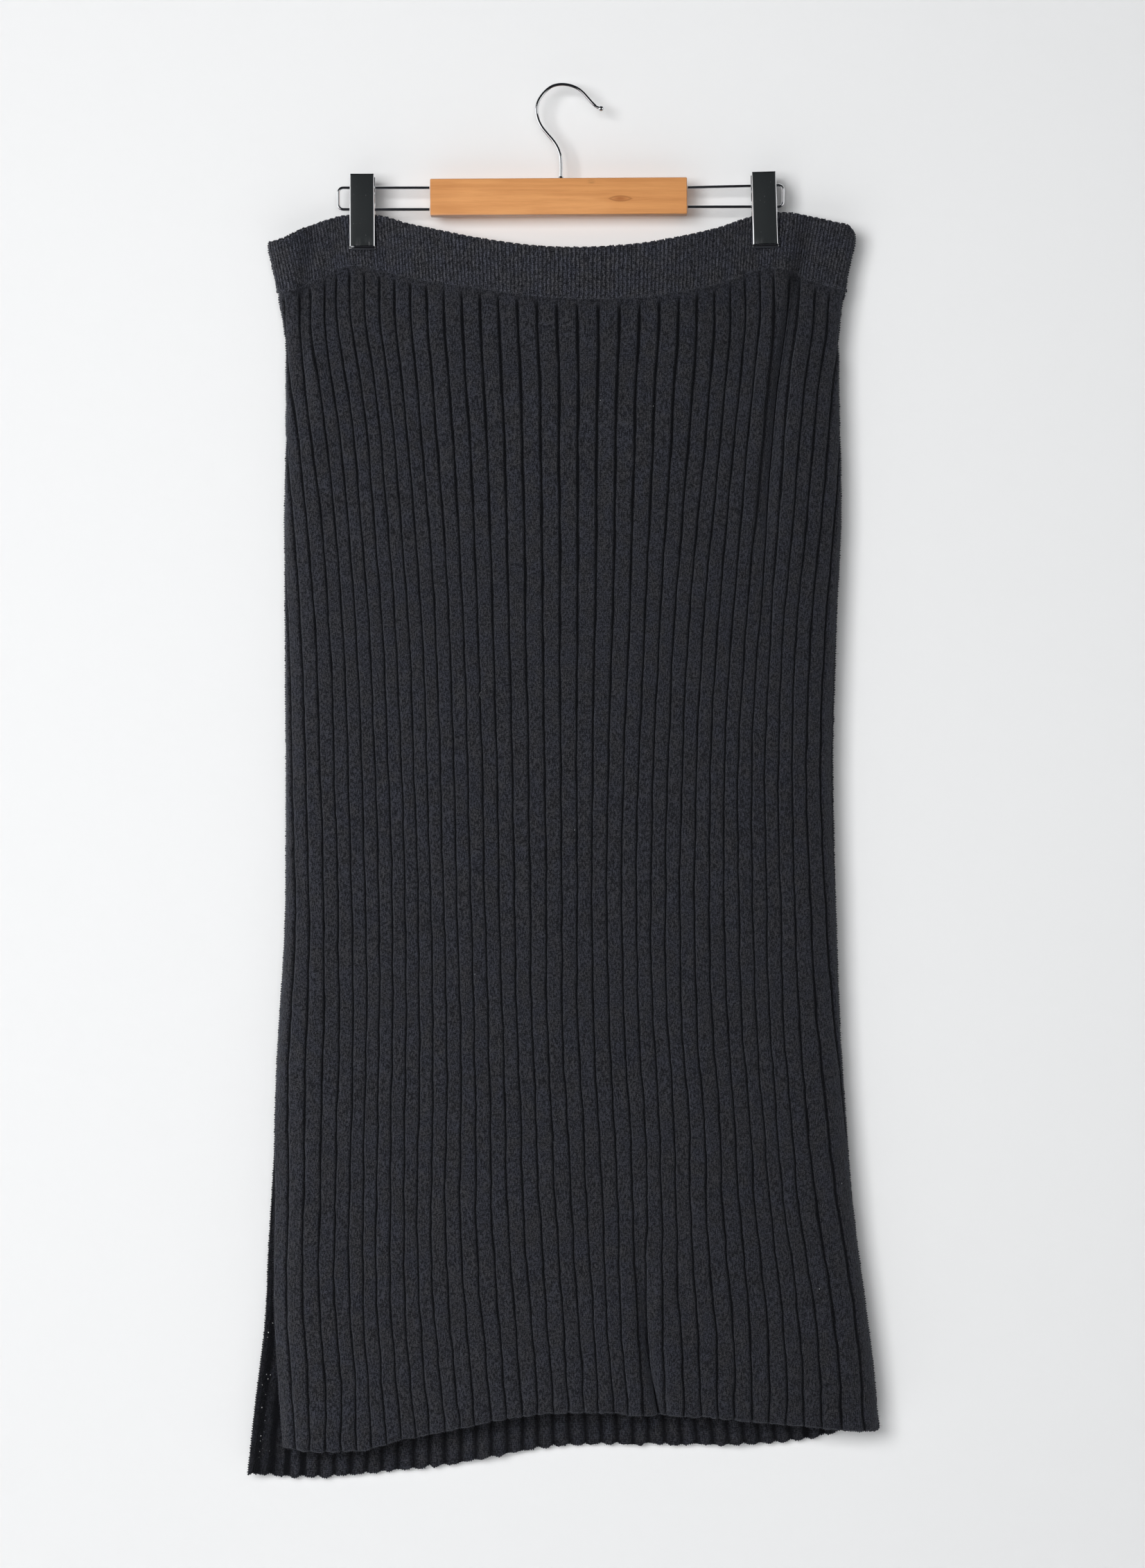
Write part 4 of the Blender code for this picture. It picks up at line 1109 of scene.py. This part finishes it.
def close_tree(build, instances, look, out):
    real = build.node("GeometryNodeRealizeInstances", {0: instances})
    soft = build.node("GeometryNodeSetShadeSmooth", {0: real.outputs[0]})
    paint = build.node("GeometryNodeSetMaterial", {0: soft.outputs[0], "Material": look})
    build.feed(out, {0: paint.outputs[0]})


def bead_tree(look):
    """Small uneven stitch loops along lines of edge."""
    build, given, out, ids = modifier_group("edge_loops", {"Pitch": "Float", "Size": "Float"})
    line = build.node("GeometryNodeMeshToCurve", {0: given["Geometry"]})
    steps = {"Curve": line.outputs[0], "Length": given["Pitch"]}
    spaced = build.node("GeometryNodeResampleCurve", steps, mode="LENGTH")
    ball = build.node("GeometryNodeMeshIcoSphere", {"Subdivisions": 1, "Radius": given["Size"]})
    spots = build.node("GeometryNodeInstanceOnPoints", {
        "Points": spaced.outputs[0],
        "Instance": ball.outputs["Mesh"],
        "Scale": random_vector(build, (0.45, 0.45, 0.5), (1.35, 1.35, 1.6), SEED),
        "Rotation": random_vector(build, (-0.7, -0.7, -3.1), (0.7, 0.7, 3.1), SEED + 1),
    })
    close_tree(build, spots.outputs[0], look, out)
    return build.tree, ids


def fibre_tree(look):
    """Short curled fibres that stand out of a surface."""
    inputs = {"Density": "Float", "Length": "Float", "Thickness": "Float", "Seed": "Int"}
    build, given, out, ids = modifier_group("loose_fibres", inputs)
    scatter = {"Mesh": given["Geometry"], "Density": given["Density"], "Seed": given["Seed"]}
    spread = build.node("GeometryNodeDistributePointsOnFaces", scatter)
    bend = {"Resolution": 3, "Start": (0, 0, -0.1), "Middle": (0.0, 0.0, 0.5), "End": (0.65, 0.0, 0.75)}
    arc = build.node("GeometryNodeCurveQuadraticBezier", bend)
    slim = build.math("DIVIDE", given["Thickness"], given["Length"])
    size = build.node("GeometryNodeCurvePrimitiveCircle", {"Resolution": 3, "Radius": slim})
    sweep = {"Curve": arc.outputs[0], "Profile Curve": size.outputs[0], "Fill Caps": True}
    hair = build.node("GeometryNodeCurveToMesh", sweep)
    scale = build.node("FunctionNodeRandomValue", {2: 0.5, 3: 1.4, "Seed": SEED + 3}, data_type="FLOAT")
    spots = build.node("GeometryNodeInstanceOnPoints", {
        "Points": spread.outputs["Points"],
        "Instance": hair.outputs[0],
        "Rotation": spread.outputs["Rotation"],
        "Scale": build.times(scale.outputs[1], given["Length"]),
    })
    lean = random_vector(build, (-0.9, -0.9, -3.14), (0.9, 0.9, 3.14), SEED + 4)
    turn = build.node("GeometryNodeRotateInstances", {0: spots.outputs[0], "Rotation": lean})
    close_tree(build, turn.outputs[0], look, out)
    return build.tree, ids


def grow(name, points, edges, faces, tree, ids, values):
    """Runs a node tree on a carrier mesh and keeps the result as one plain mesh."""
    mesh = bpy.data.meshes.new(name)
    mesh.from_pydata((np.asarray(points) * MM).tolist(), edges, faces)
    mesh.update()
    carrier = new_object(name + "_carrier", mesh)
    modifier = carrier.modifiers.new("grow", "NODES")
    modifier.node_group = tree
    for label, value in values.items():
        modifier[ids[label]] = value
    graph = bpy.context.evaluated_depsgraph_get()
    result = bpy.data.meshes.new_from_object(carrier.evaluated_get(graph), depsgraph=graph)
    bpy.data.objects.remove(carrier)
    bpy.data.meshes.remove(mesh)
    result.name = name
    finish_piece(new_object(name, result))


def chain(lines):
    """Points and edges of several open lines."""
    points, edges = [], []
    for line in lines:
        start = len(points)
        points += [tuple(p) for p in line]
        edges += [(start + k, start + k + 1) for k in range(len(line) - 1)]
    return points, edges


def outermost(grid, ribs):
    """The line of points down a panel that shows as its outline, within some of its ribs."""
    rows = grid["outer"][:, ribs]
    way = -1 if rows[0, 0, 0] < 0 else 1
    picks = (rows[:, :, 0] * way).argmax(1)
    return rows[np.arange(len(rows)), picks] + np.array([0.2 * way, 0.0, 0.0])


def rim_line(grid):
    """A line along the last row of a wall, between its two layers."""
    inner = np.array([np.interp(grid["ribs"], grid["inner_ribs"], axis) for axis in grid["inner"][-1].T]).T
    return grid["outer"][-1] * 0.6 + inner * 0.4


class SKIRT_OT_edges(bpy.types.Operator):
    """Loop the edges of the knit: the hems, the waistband's top, the slit and the folds"""

    bl_idname = "skirt.add_edges"
    bl_label = "Looped edges"

    def execute(self, context):
        tree, ids = bead_tree(LOOKS["edge"])

        def loops(name, lines, pitch, size):
            grow(name, *chain(lines), [], tree, ids, {"Pitch": pitch * MM, "Size": size * MM})

        wale = RIB_PITCH / context.scene.skirt_knit.wales
        for side in ("front", "back"):
            loops(f"hem_loops_{side}", [rim_line(GRIDS[side])], wale, 0.76)
            loops(f"waist_loops_{side}", [rim_line(GRIDS["band_" + side])], 2.2, 0.66)
        panels = ("front", "back", "band_front", "band_back")
        ends = (slice(None, 72), slice(-72, None))
        loops("fold_loops", [outermost(GRIDS[panel], end) for panel in panels for end in ends], 1.75, 0.6)
        loops("seam_tufts", [[(x, 0.0, z) for x, z in line] for line in TUFTS], 1.1, 0.8)
        return {"FINISHED"}


class SKIRT_OT_fuzz(bpy.types.Operator):
    """Scatter loose yarn fibres over the knit, and a few specks of lint"""

    bl_idname = "skirt.add_fuzz"
    bl_label = "Fuzz"

    def execute(self, context):
        settings = context.scene.skirt_knit
        tree, ids = fibre_tree(LOOKS["fuzz"])
        values = {
            "Density": settings.fuzz_density,
            "Length": settings.fuzz_length,
            "Thickness": 0.055 * MM,
            "Seed": SEED,
        }
        for side in ("front", "back"):
            body = GRIDS[side]["outer"]
            faces = grid_faces(*body.shape[:2])[:, ::-1].tolist()
            grow(f"fuzz_{side}", body.reshape(-1, 3), [], faces, tree, ids, values)
        finish_piece(self.lint())
        return {"FINISHED"}

    def lint(self):
        """Pale specks and one hair lying on the front."""
        cloth = np.vstack([GRIDS[name]["outer"].reshape(-1, 3) for name in ("front", "band_front")])
        points, faces = [], []

        def face_of(x, z):
            return float(cloth[np.argmin(np.hypot(cloth[:, 0] - x, cloth[:, 2] - z)), 1])

        for x, z, radius in SPECKS:
            y = face_of(x, z) - 0.5 * radius
            base = len(points)
            for dx, dy, dz in ((1, 0, 0), (0, 0, 1), (-1, 0, 0), (0, 0, -1), (0, -1, 0), (0, 1, 0)):
                points.append((x + dx * radius, y + dy * radius * 0.7, z + dz * radius * 1.2))
            for k in range(4):
                a, b = base + k, base + (k + 1) % 4
                faces += [(a, b, base + 4), (b, a, base + 5)]
        base = len(points)
        path = resampled(HAIR, 0.5)
        for x, z in path:
            y = face_of(x, z) - 0.25
            points += [(x + 0.1 * math.cos(t), y + 0.1 * math.sin(t), z) for t in (0.0, 2.09, 4.19)]
        faces += ring_faces(len(path), 3, base)
        faces += [(base, base + 1, base + 2), (len(points) - 1, len(points) - 2, len(points) - 3)]
        return plain_object("lint", points, faces, LOOKS["lint"])


# Hanger


def ring_faces(rings, sides, base=0, closed=False):
    """Faces from each ring of points to the next, and from the last to the first where they close."""
    faces = []
    for r in range(rings if closed else rings - 1):
        low, high = base + r * sides, base + (r + 1) % rings * sides
        faces += [(low + k, low + (k + 1) % sides, high + (k + 1) % sides, high + k) for k in range(sides)]
    return faces


def bevelled(piece, width, segments=3):
    rounding = piece.modifiers.new("rounding", "BEVEL")
    rounding.width = width
    rounding.segments = segments
    rounding.limit_method = "ANGLE"
    rounding.angle_limit = math.radians(28)
    rounding.harden_normals = False


def wire(name, path, radii, look, sides=24, blunt=False):
    """A round wire in the middle plane, with a radius at each point and rounded or blunt ends."""
    path = np.asarray(path, float)
    along = np.gradient(path, axis=0)
    along /= np.linalg.norm(along, axis=1)[:, None]
    across = np.stack([-along[:, 1], along[:, 0]], 1)
    radii = np.broadcast_to(radii, len(path)).astype(float)
    rings = list(zip(path, radii, across))
    if not blunt:
        turns = [math.pi / 2 * k / 6 for k in range(1, 6)]
        caps = []
        for end, way in ((0, -1), (-1, 1)):
            p, out, r = path[end], way * along[end], radii[end]
            caps.append([(p + out * r * math.sin(t), r * math.cos(t), across[end]) for t in turns])
        rings = caps[0][::-1] + rings + caps[1]
    points = []
    for centre, radius, side in rings:
        for k in range(sides):
            turn = 2 * math.pi * k / sides
            c, s = math.cos(turn) * radius, math.sin(turn) * radius
            points.append((centre[0] + side[0] * c, s, centre[1] + side[1] * c))
    faces = ring_faces(len(rings), sides)
    faces.append(tuple(range(sides)))
    faces.append(tuple(reversed(range(len(points) - sides, len(points)))))
    return plain_object(name, points, faces, look)


def resampled(points, step):
    """A smooth line through points, at even steps."""
    points = np.asarray(points, float)
    at = np.concatenate([[0.0], np.cumsum(np.linalg.norm(np.diff(points, axis=0), axis=1))])
    fine = np.linspace(0, at[-1], max(int(at[-1] / step), 2) + 1)
    return np.stack([through(at, points[:, k], fine) for k in range(points.shape[1])], 1)


class SKIRT_OT_hook(bpy.types.Operator):
    """Bend the hook with its ball tip, and set its ferrule on the bar"""

    bl_idname = "skirt.add_hook"
    bl_label = "Hook"

    def execute(self, context):
        radius = context.scene.skirt_hanger.hook_wire / 2 / MM
        path = resampled(HOOK_PATH, 0.6)
        from_tip = np.linalg.norm(path - np.array(HOOK_TIP), axis=1)
        radii = radius * (1 - 0.16 * hump(from_tip - 3.6, 1.6))
        finish_piece(wire("hook_wire", path, radii, LOOKS["chrome"]), "hook")
        x, z = HOOK_TIP
        finish_piece(wire("hook_ball", [(x - 0.05, z), (x + 0.05, z)], HOOK_TIP_RADIUS, LOOKS["chrome"], 32))
        x, base = HOOK_PATH[0]
        sides, points = 36, []
        for k in range(sides):
            turn = 2 * math.pi * k / sides
            points += [(x + r * math.cos(turn), r * math.sin(turn), base + h) for r, h in COLLAR_PROFILE]
        faces = ring_faces(sides, len(COLLAR_PROFILE), closed=True)
        finish_piece(plain_object("hook_collar", points, faces, LOOKS["chrome"]), "hook_ferrule")
        return {"FINISHED"}


class SKIRT_OT_loops(bpy.types.Operator):
    """Bend the wire loops that carry the clips"""

    bl_idname = "skirt.add_loops"
    bl_label = "Wire loops"

    def execute(self, context):
        radius = context.scene.skirt_hanger.loop_wire / 2 / MM
        r = LOOP_CORNER
        bend = np.linspace(0, math.pi / 2, 12)
        run = np.array([0.15, 0.4, 1.5, 20.0, 40.0])
        for side, (out, start, end, up_in, up_out, low_in, low_out) in LOOPS.items():
            path = [(start + out * v, up_in + (up_out - up_in) * v / abs(end - start)) for v in run]
            path += [(end - out * r + out * r * math.sin(t), up_out - r + r * math.cos(t)) for t in bend]
            path += [(end - out * r + out * r * math.cos(t), low_out + r - r * math.sin(t)) for t in bend]
            path += [(start + out * v, low_in + (low_out - low_in) * v / abs(end - start)) for v in run[::-1]]
            piece = wire(f"wire_loop_{side}", path, radius, LOOKS["chrome"], blunt=True)
            finish_piece(piece, f"hanger_wire_{side}")
        return {"FINISHED"}


class SKIRT_OT_clips(bpy.types.Operator):
    """Bend the two clips' plated jaws and gloss black facings, and give their grip pads and sleeves rubber
    and chrome
    """

    bl_idname = "skirt.add_clips"
    bl_label = "Clips"

    def execute(self, context):
        bevel = context.scene.skirt_hanger.bevel
        for side in CLIPS:
            for face, sign in (("front", -1), ("back", 1)):
                self.jaw(side, face, sign, bevel)
            for name, look in (("sleeve", "chrome"), ("pad_front", "rubber"), ("pad_back", "rubber")):
                materials = frame["nodes"][f"clip_{side}_{name}"].data.materials
                materials.clear()
                materials.append(LOOKS[look])
        return {"FINISHED"}

    def jaw(self, side, face, sign, bevel):
        centre, foot, turn = CLIPS[side]
        top = foot + CLIP_HEIGHT
        angle = math.radians(turn)

        def out(z):
            return JAW_FOOT_OUT + (z - foot) * JAW_LEAN

        def half_width(z):
            share = np.clip((z - foot) / CLIP_HEIGHT, 0, 1)
            return (CLIP_FOOT_WIDTH + (CLIP_TOP_WIDTH - CLIP_FOOT_WIDTH) * share) / 2

        def place(points):
            made = []
            for x, y, z in points:
                px = x * math.cos(angle) + (z - foot) * math.sin(angle)
                pz = -x * math.sin(angle) + (z - foot) * math.cos(angle)
                made.append((centre + px, sign * y, foot + pz))
            return made

        lower = LOOPS[side][6]
        knuckle = SLEEVE_RADIUS + GAP
        lip = foot + 2.5
        tray_top, tray_foot = top - 0.7, lip + 0.4
        profile = [
            (out(lip), lip),
            (out(foot + 1.4) - 0.15, foot + 1.4),
            (out(foot) - 0.5, foot + 0.5),
            (out(foot) - 1.2, foot),
            (out(foot) - JAW_PLATE - 0.4, foot),
            (out(foot) - JAW_PLATE, lip),
            (out(lower - 5) - JAW_PLATE, lower - 5),
            (knuckle, lower - 3),
            (knuckle, lower + 3),
            (out(lower + 5) - JAW_PLATE, lower + 5),
            (out(top) - JAW_PLATE, top),
            (out(top), top),
        ]
        n = len(profile)
        points = [(s * half_width(z), y, z) for s in (-1, 1) for y, z in profile]
        faces = [tuple(range(n)), tuple(range(2 * n - 1, n - 1, -1))]
        faces += [(k, k + 1, n + k + 1, n + k) for k in range(n - 1)]
        for k in (0, n - 1, n, 2 * n - 1):
            x, y, z = points[k]
            points[k] = (x, y - RIM_SLOPE * max(abs(x) - COVER_HALF_WIDTH, 0.7), z)
        open_half = COVER_HALF_WIDTH + 0.15
        rim = len(points)
        mouth = [(-open_half, tray_foot), (open_half, tray_foot)]
        mouth += [(open_half, tray_top), (-open_half, tray_top)]
        points += [(x, out(z), z) for x, z in mouth]
        points += [(x, out(z) - TRAY_DEPTH, z) for x, z in mouth]
        corners = [0, n, 2 * n - 1, n - 1]
        for k in range(4):
            a, b = corners[k], corners[(k + 1) % 4]
            c, d = rim + (k + 1) % 4, rim + k
            faces.append((a, b, c, d))
            faces.append((d, c, c + 4, d + 4))
        faces.append(tuple(rim + 4 + k for k in range(4)))
        steel = plain_object(f"clip_steel_{side}_{face}", place(points), faces, LOOKS["chrome"])
        bevelled(steel, bevel)
        finish_piece(steel, f"clip_{side}_jaw_{face}")
        cover_top, cover_foot = tray_top - 0.2, tray_foot + 0.2
        slab = []
        for deep in (0.12, TRAY_DEPTH - 0.1):
            for x, z in ((-1, cover_foot), (1, cover_foot), (1, cover_top), (-1, cover_top)):
                slab.append((x * (COVER_HALF_WIDTH - 0.05), out(z) - deep, z))
        sides = [(0, 1, 2, 3), (7, 6, 5, 4)] + ring_faces(2, 4)
        cover = plain_object(f"clip_facing_{side}_{face}", place(slab), sides, LOOKS["black"])
        bevelled(cover, 0.25 * MM)
        finish_piece(cover, f"clip_{side}_cover_{face}")


class SKIRT_OT_bar(bpy.types.Operator):
    """Shape the wooden bar with eased edges"""

    bl_idname = "skirt.add_bar"
    bl_label = "Wooden bar"

    def execute(self, context):
        half = [v / 2 for v in BLOCK]
        corners = [(x * half[0], y * half[1], z * half[2]) for x in (-1, 1) for y in (-1, 1) for z in (-1, 1)]
        faces = [(0, 1, 3, 2), (4, 6, 7, 5), (0, 4, 5, 1), (2, 3, 7, 6), (0, 2, 6, 4), (1, 5, 7, 3)]
        tilt = Matrix.Rotation(math.radians(-BLOCK_TILT), 3, "Y")
        points = [tuple(tilt @ Vector(c) + Vector(BLOCK_CENTRE)) for c in corners]
        piece = plain_object("wooden_bar", points, faces, LOOKS["wood"])
        bevelled(piece, 0.8 * MM, 4)
        finish_piece(piece, "hanger_block")
        return {"FINISHED"}


# Studio


def area_light(name, spot, aim, size, power):
    data = bpy.data.lights.new(name, "AREA")
    data.shape = "RECTANGLE"
    data.size, data.size_y = size
    data.energy = power
    light = new_object(name, data)
    light.location = spot
    light.rotation_euler = (Vector(aim) - Vector(spot)).to_track_quat("-Z", "Y").to_euler()
    return light


def backdrop_material(name, colour, see_from_behind):
    """Pale paint. The wall is clear from behind and to the lights, and the floor is dim in the steel."""
    made, build, shader, place = new_material(name)
    tone = build.span(build.noise(place, 1.3, 2.0), 0.3, 0.7, 0.0, 0.5)
    shown = build.mix(tone, opaque(colour), opaque(colour, 0.985))
    path = build.node("ShaderNodeLightPath").outputs
    if see_from_behind:
        clear = build.node("ShaderNodeBsdfTransparent").outputs[0]
        behind = build.node("ShaderNodeNewGeometry").outputs["Backfacing"]
        share = build.math("MAXIMUM", behind, path["Is Shadow Ray"])
        both = build.node("ShaderNodeMixShader", {0: share, 1: shader.outputs[0], 2: clear})
        build.feed(made.node_tree.nodes["Material Output"], {"Surface": both.outputs[0]})
    else:
        shown = build.mix(path["Is Glossy Ray"], shown, (0.03, 0.031, 0.035, 1.0))
    build.feed(shader, {"Base Color": shown, "Roughness": 0.9, "Specular IOR Level": 0.1})
    return made


def plane(name, corners, look):
    mesh = bpy.data.meshes.new(name)
    mesh.from_pydata(corners, [], [(0, 1, 2, 3)])
    mesh.materials.append(look)
    new_object(name, mesh)


BACKDROP = (0.80, 0.805, 0.81)
PICTURE_WIDTH = 1.1315
# Panels seen only as reflections in the steel: name, place, size and share of the power.
STEEL_PANELS = (
    ("left_panel", (-1.75, -1.7, -0.55), (2.2, 2.5), 1.0),
    ("left_strip", (-2.5, -0.5, -0.4), (1.5, 2.0), 0.5),
    ("right_panel", (1.9, -1.4, -0.4), (1.8, 2.1), 0.7),
)


class SKIRT_OT_studio(bpy.types.Operator):
    """Set the pale wall and floor, soft lights and the camera"""

    bl_idname = "skirt.add_studio"
    bl_label = "Studio"

    def execute(self, context):
        scene = context.scene
        studio = scene.skirt_studio
        y, half, ground = studio.wall_gap, 3.2, -1.45
        wall = backdrop_material("pale_wall", BACKDROP, True)
        floor = backdrop_material("pale_floor", BACKDROP, False)
        plane("wall", [(-half, y, ground), (half, y, ground), (half, y, 1.9), (-half, y, 1.9)], wall)
        corners = [(-half, -4.2, ground), (half, -4.2, ground), (half, 3.2, ground), (-half, 3.2, ground)]
        plane("floor", corners, floor)
        aim = (0.0, 0.0, -0.52)
        key = area_light("key_light", (-1.1, -2.75, -0.05), aim, (1.1, 1.1), studio.key)
        fill = area_light("fill_light", (-0.15, -3.1, -0.1), aim, (1.2, 1.2), studio.fill)
        key.visible_glossy = fill.visible_glossy = False
        for name, spot, size, share in STEEL_PANELS:
            panel = area_light(name, spot, aim, size, share * studio.strip)
            panel.visible_diffuse = False
        area_light("rear_light", (-1.1, 2.3, -0.1), aim, (1.7, 1.7), studio.rear)
        world = bpy.data.worlds.new("studio_air")
        world.use_nodes = True
        scene.world = world
        build = Tree(world.node_tree)
        air = world.node_tree.nodes["Background"]
        ray = build.node("ShaderNodeLightPath").outputs
        air_light = build.mix(ray["Is Glossy Ray"], (0.045, 0.046, 0.048, 1.0), (0.012, 0.0125, 0.014, 1.0))
        build.feed(air, {"Color": build.mix(ray["Is Camera Ray"], air_light, (0.80, 0.81, 0.82, 1.0))})
        data = bpy.data.cameras.new("camera")
        data.sensor_width = 36.0
        data.lens = data.sensor_width * studio.distance / PICTURE_WIDTH
        camera = new_object("camera", data)
        camera.location = (0.008, -studio.distance, -0.5035)
        camera.rotation_euler = (math.pi / 2, 0.0, 0.0)
        scene.camera = camera
        scene.view_settings.view_transform = "Standard"
        return {"FINISHED"}


class SKIRT_PT_panel(bpy.types.Panel):
    """Buttons and settings of the skirt"""

    bl_idname = "SKIRT_PT_panel"
    bl_label = "Midi skirt on a clip hanger"
    bl_space_type = "VIEW_3D"
    bl_region_type = "UI"
    bl_category = "Skirt"

    def draw(self, context):
        for group in (context.scene.skirt_knit, context.scene.skirt_hanger, context.scene.skirt_studio):
            for name in group.__annotations__:
                self.layout.prop(group, name)
        for operator in OPERATORS:
            self.layout.operator(operator.bl_idname)


OPERATORS = (
    SKIRT_OT_body,
    SKIRT_OT_band,
    SKIRT_OT_edges,
    SKIRT_OT_fuzz,
    SKIRT_OT_bar,
    SKIRT_OT_hook,
    SKIRT_OT_loops,
    SKIRT_OT_clips,
    SKIRT_OT_studio,
)
CLASSES = (KnitSettings, HangerSettings, StudioSettings, *OPERATORS, SKIRT_PT_panel)


def register():
    for item in CLASSES:
        bpy.utils.register_class(item)
    bpy.types.Scene.skirt_knit = PointerProperty(type=KnitSettings)
    bpy.types.Scene.skirt_hanger = PointerProperty(type=HangerSettings)
    bpy.types.Scene.skirt_studio = PointerProperty(type=StudioSettings)


def unregister():
    for name in ("skirt_knit", "skirt_hanger", "skirt_studio"):
        delattr(bpy.types.Scene, name)
    for item in reversed(CLASSES):
        bpy.utils.unregister_class(item)


def declare_cloth():
    """Looks up each side's knit shells, loops and fuzz, and does nothing more with them."""
    objects = bpy.data.objects
    for side in ("front", "back"):
        body, band = objects[f"rib_knit_{side}"], objects[f"waistband_knit_{side}"]
        dressing = [objects[f"hem_loops_{side}"], objects[f"fuzz_{side}"]]
        loops = [objects[f"waist_loops_{side}"]]


def main():
    register()
    make_looks(bpy.context)
    for operator in OPERATORS:
        area, name = operator.bl_idname.split(".")
        getattr(getattr(bpy.ops, area), name)()
    declare_cloth()


if __name__ == "__main__":
    main()
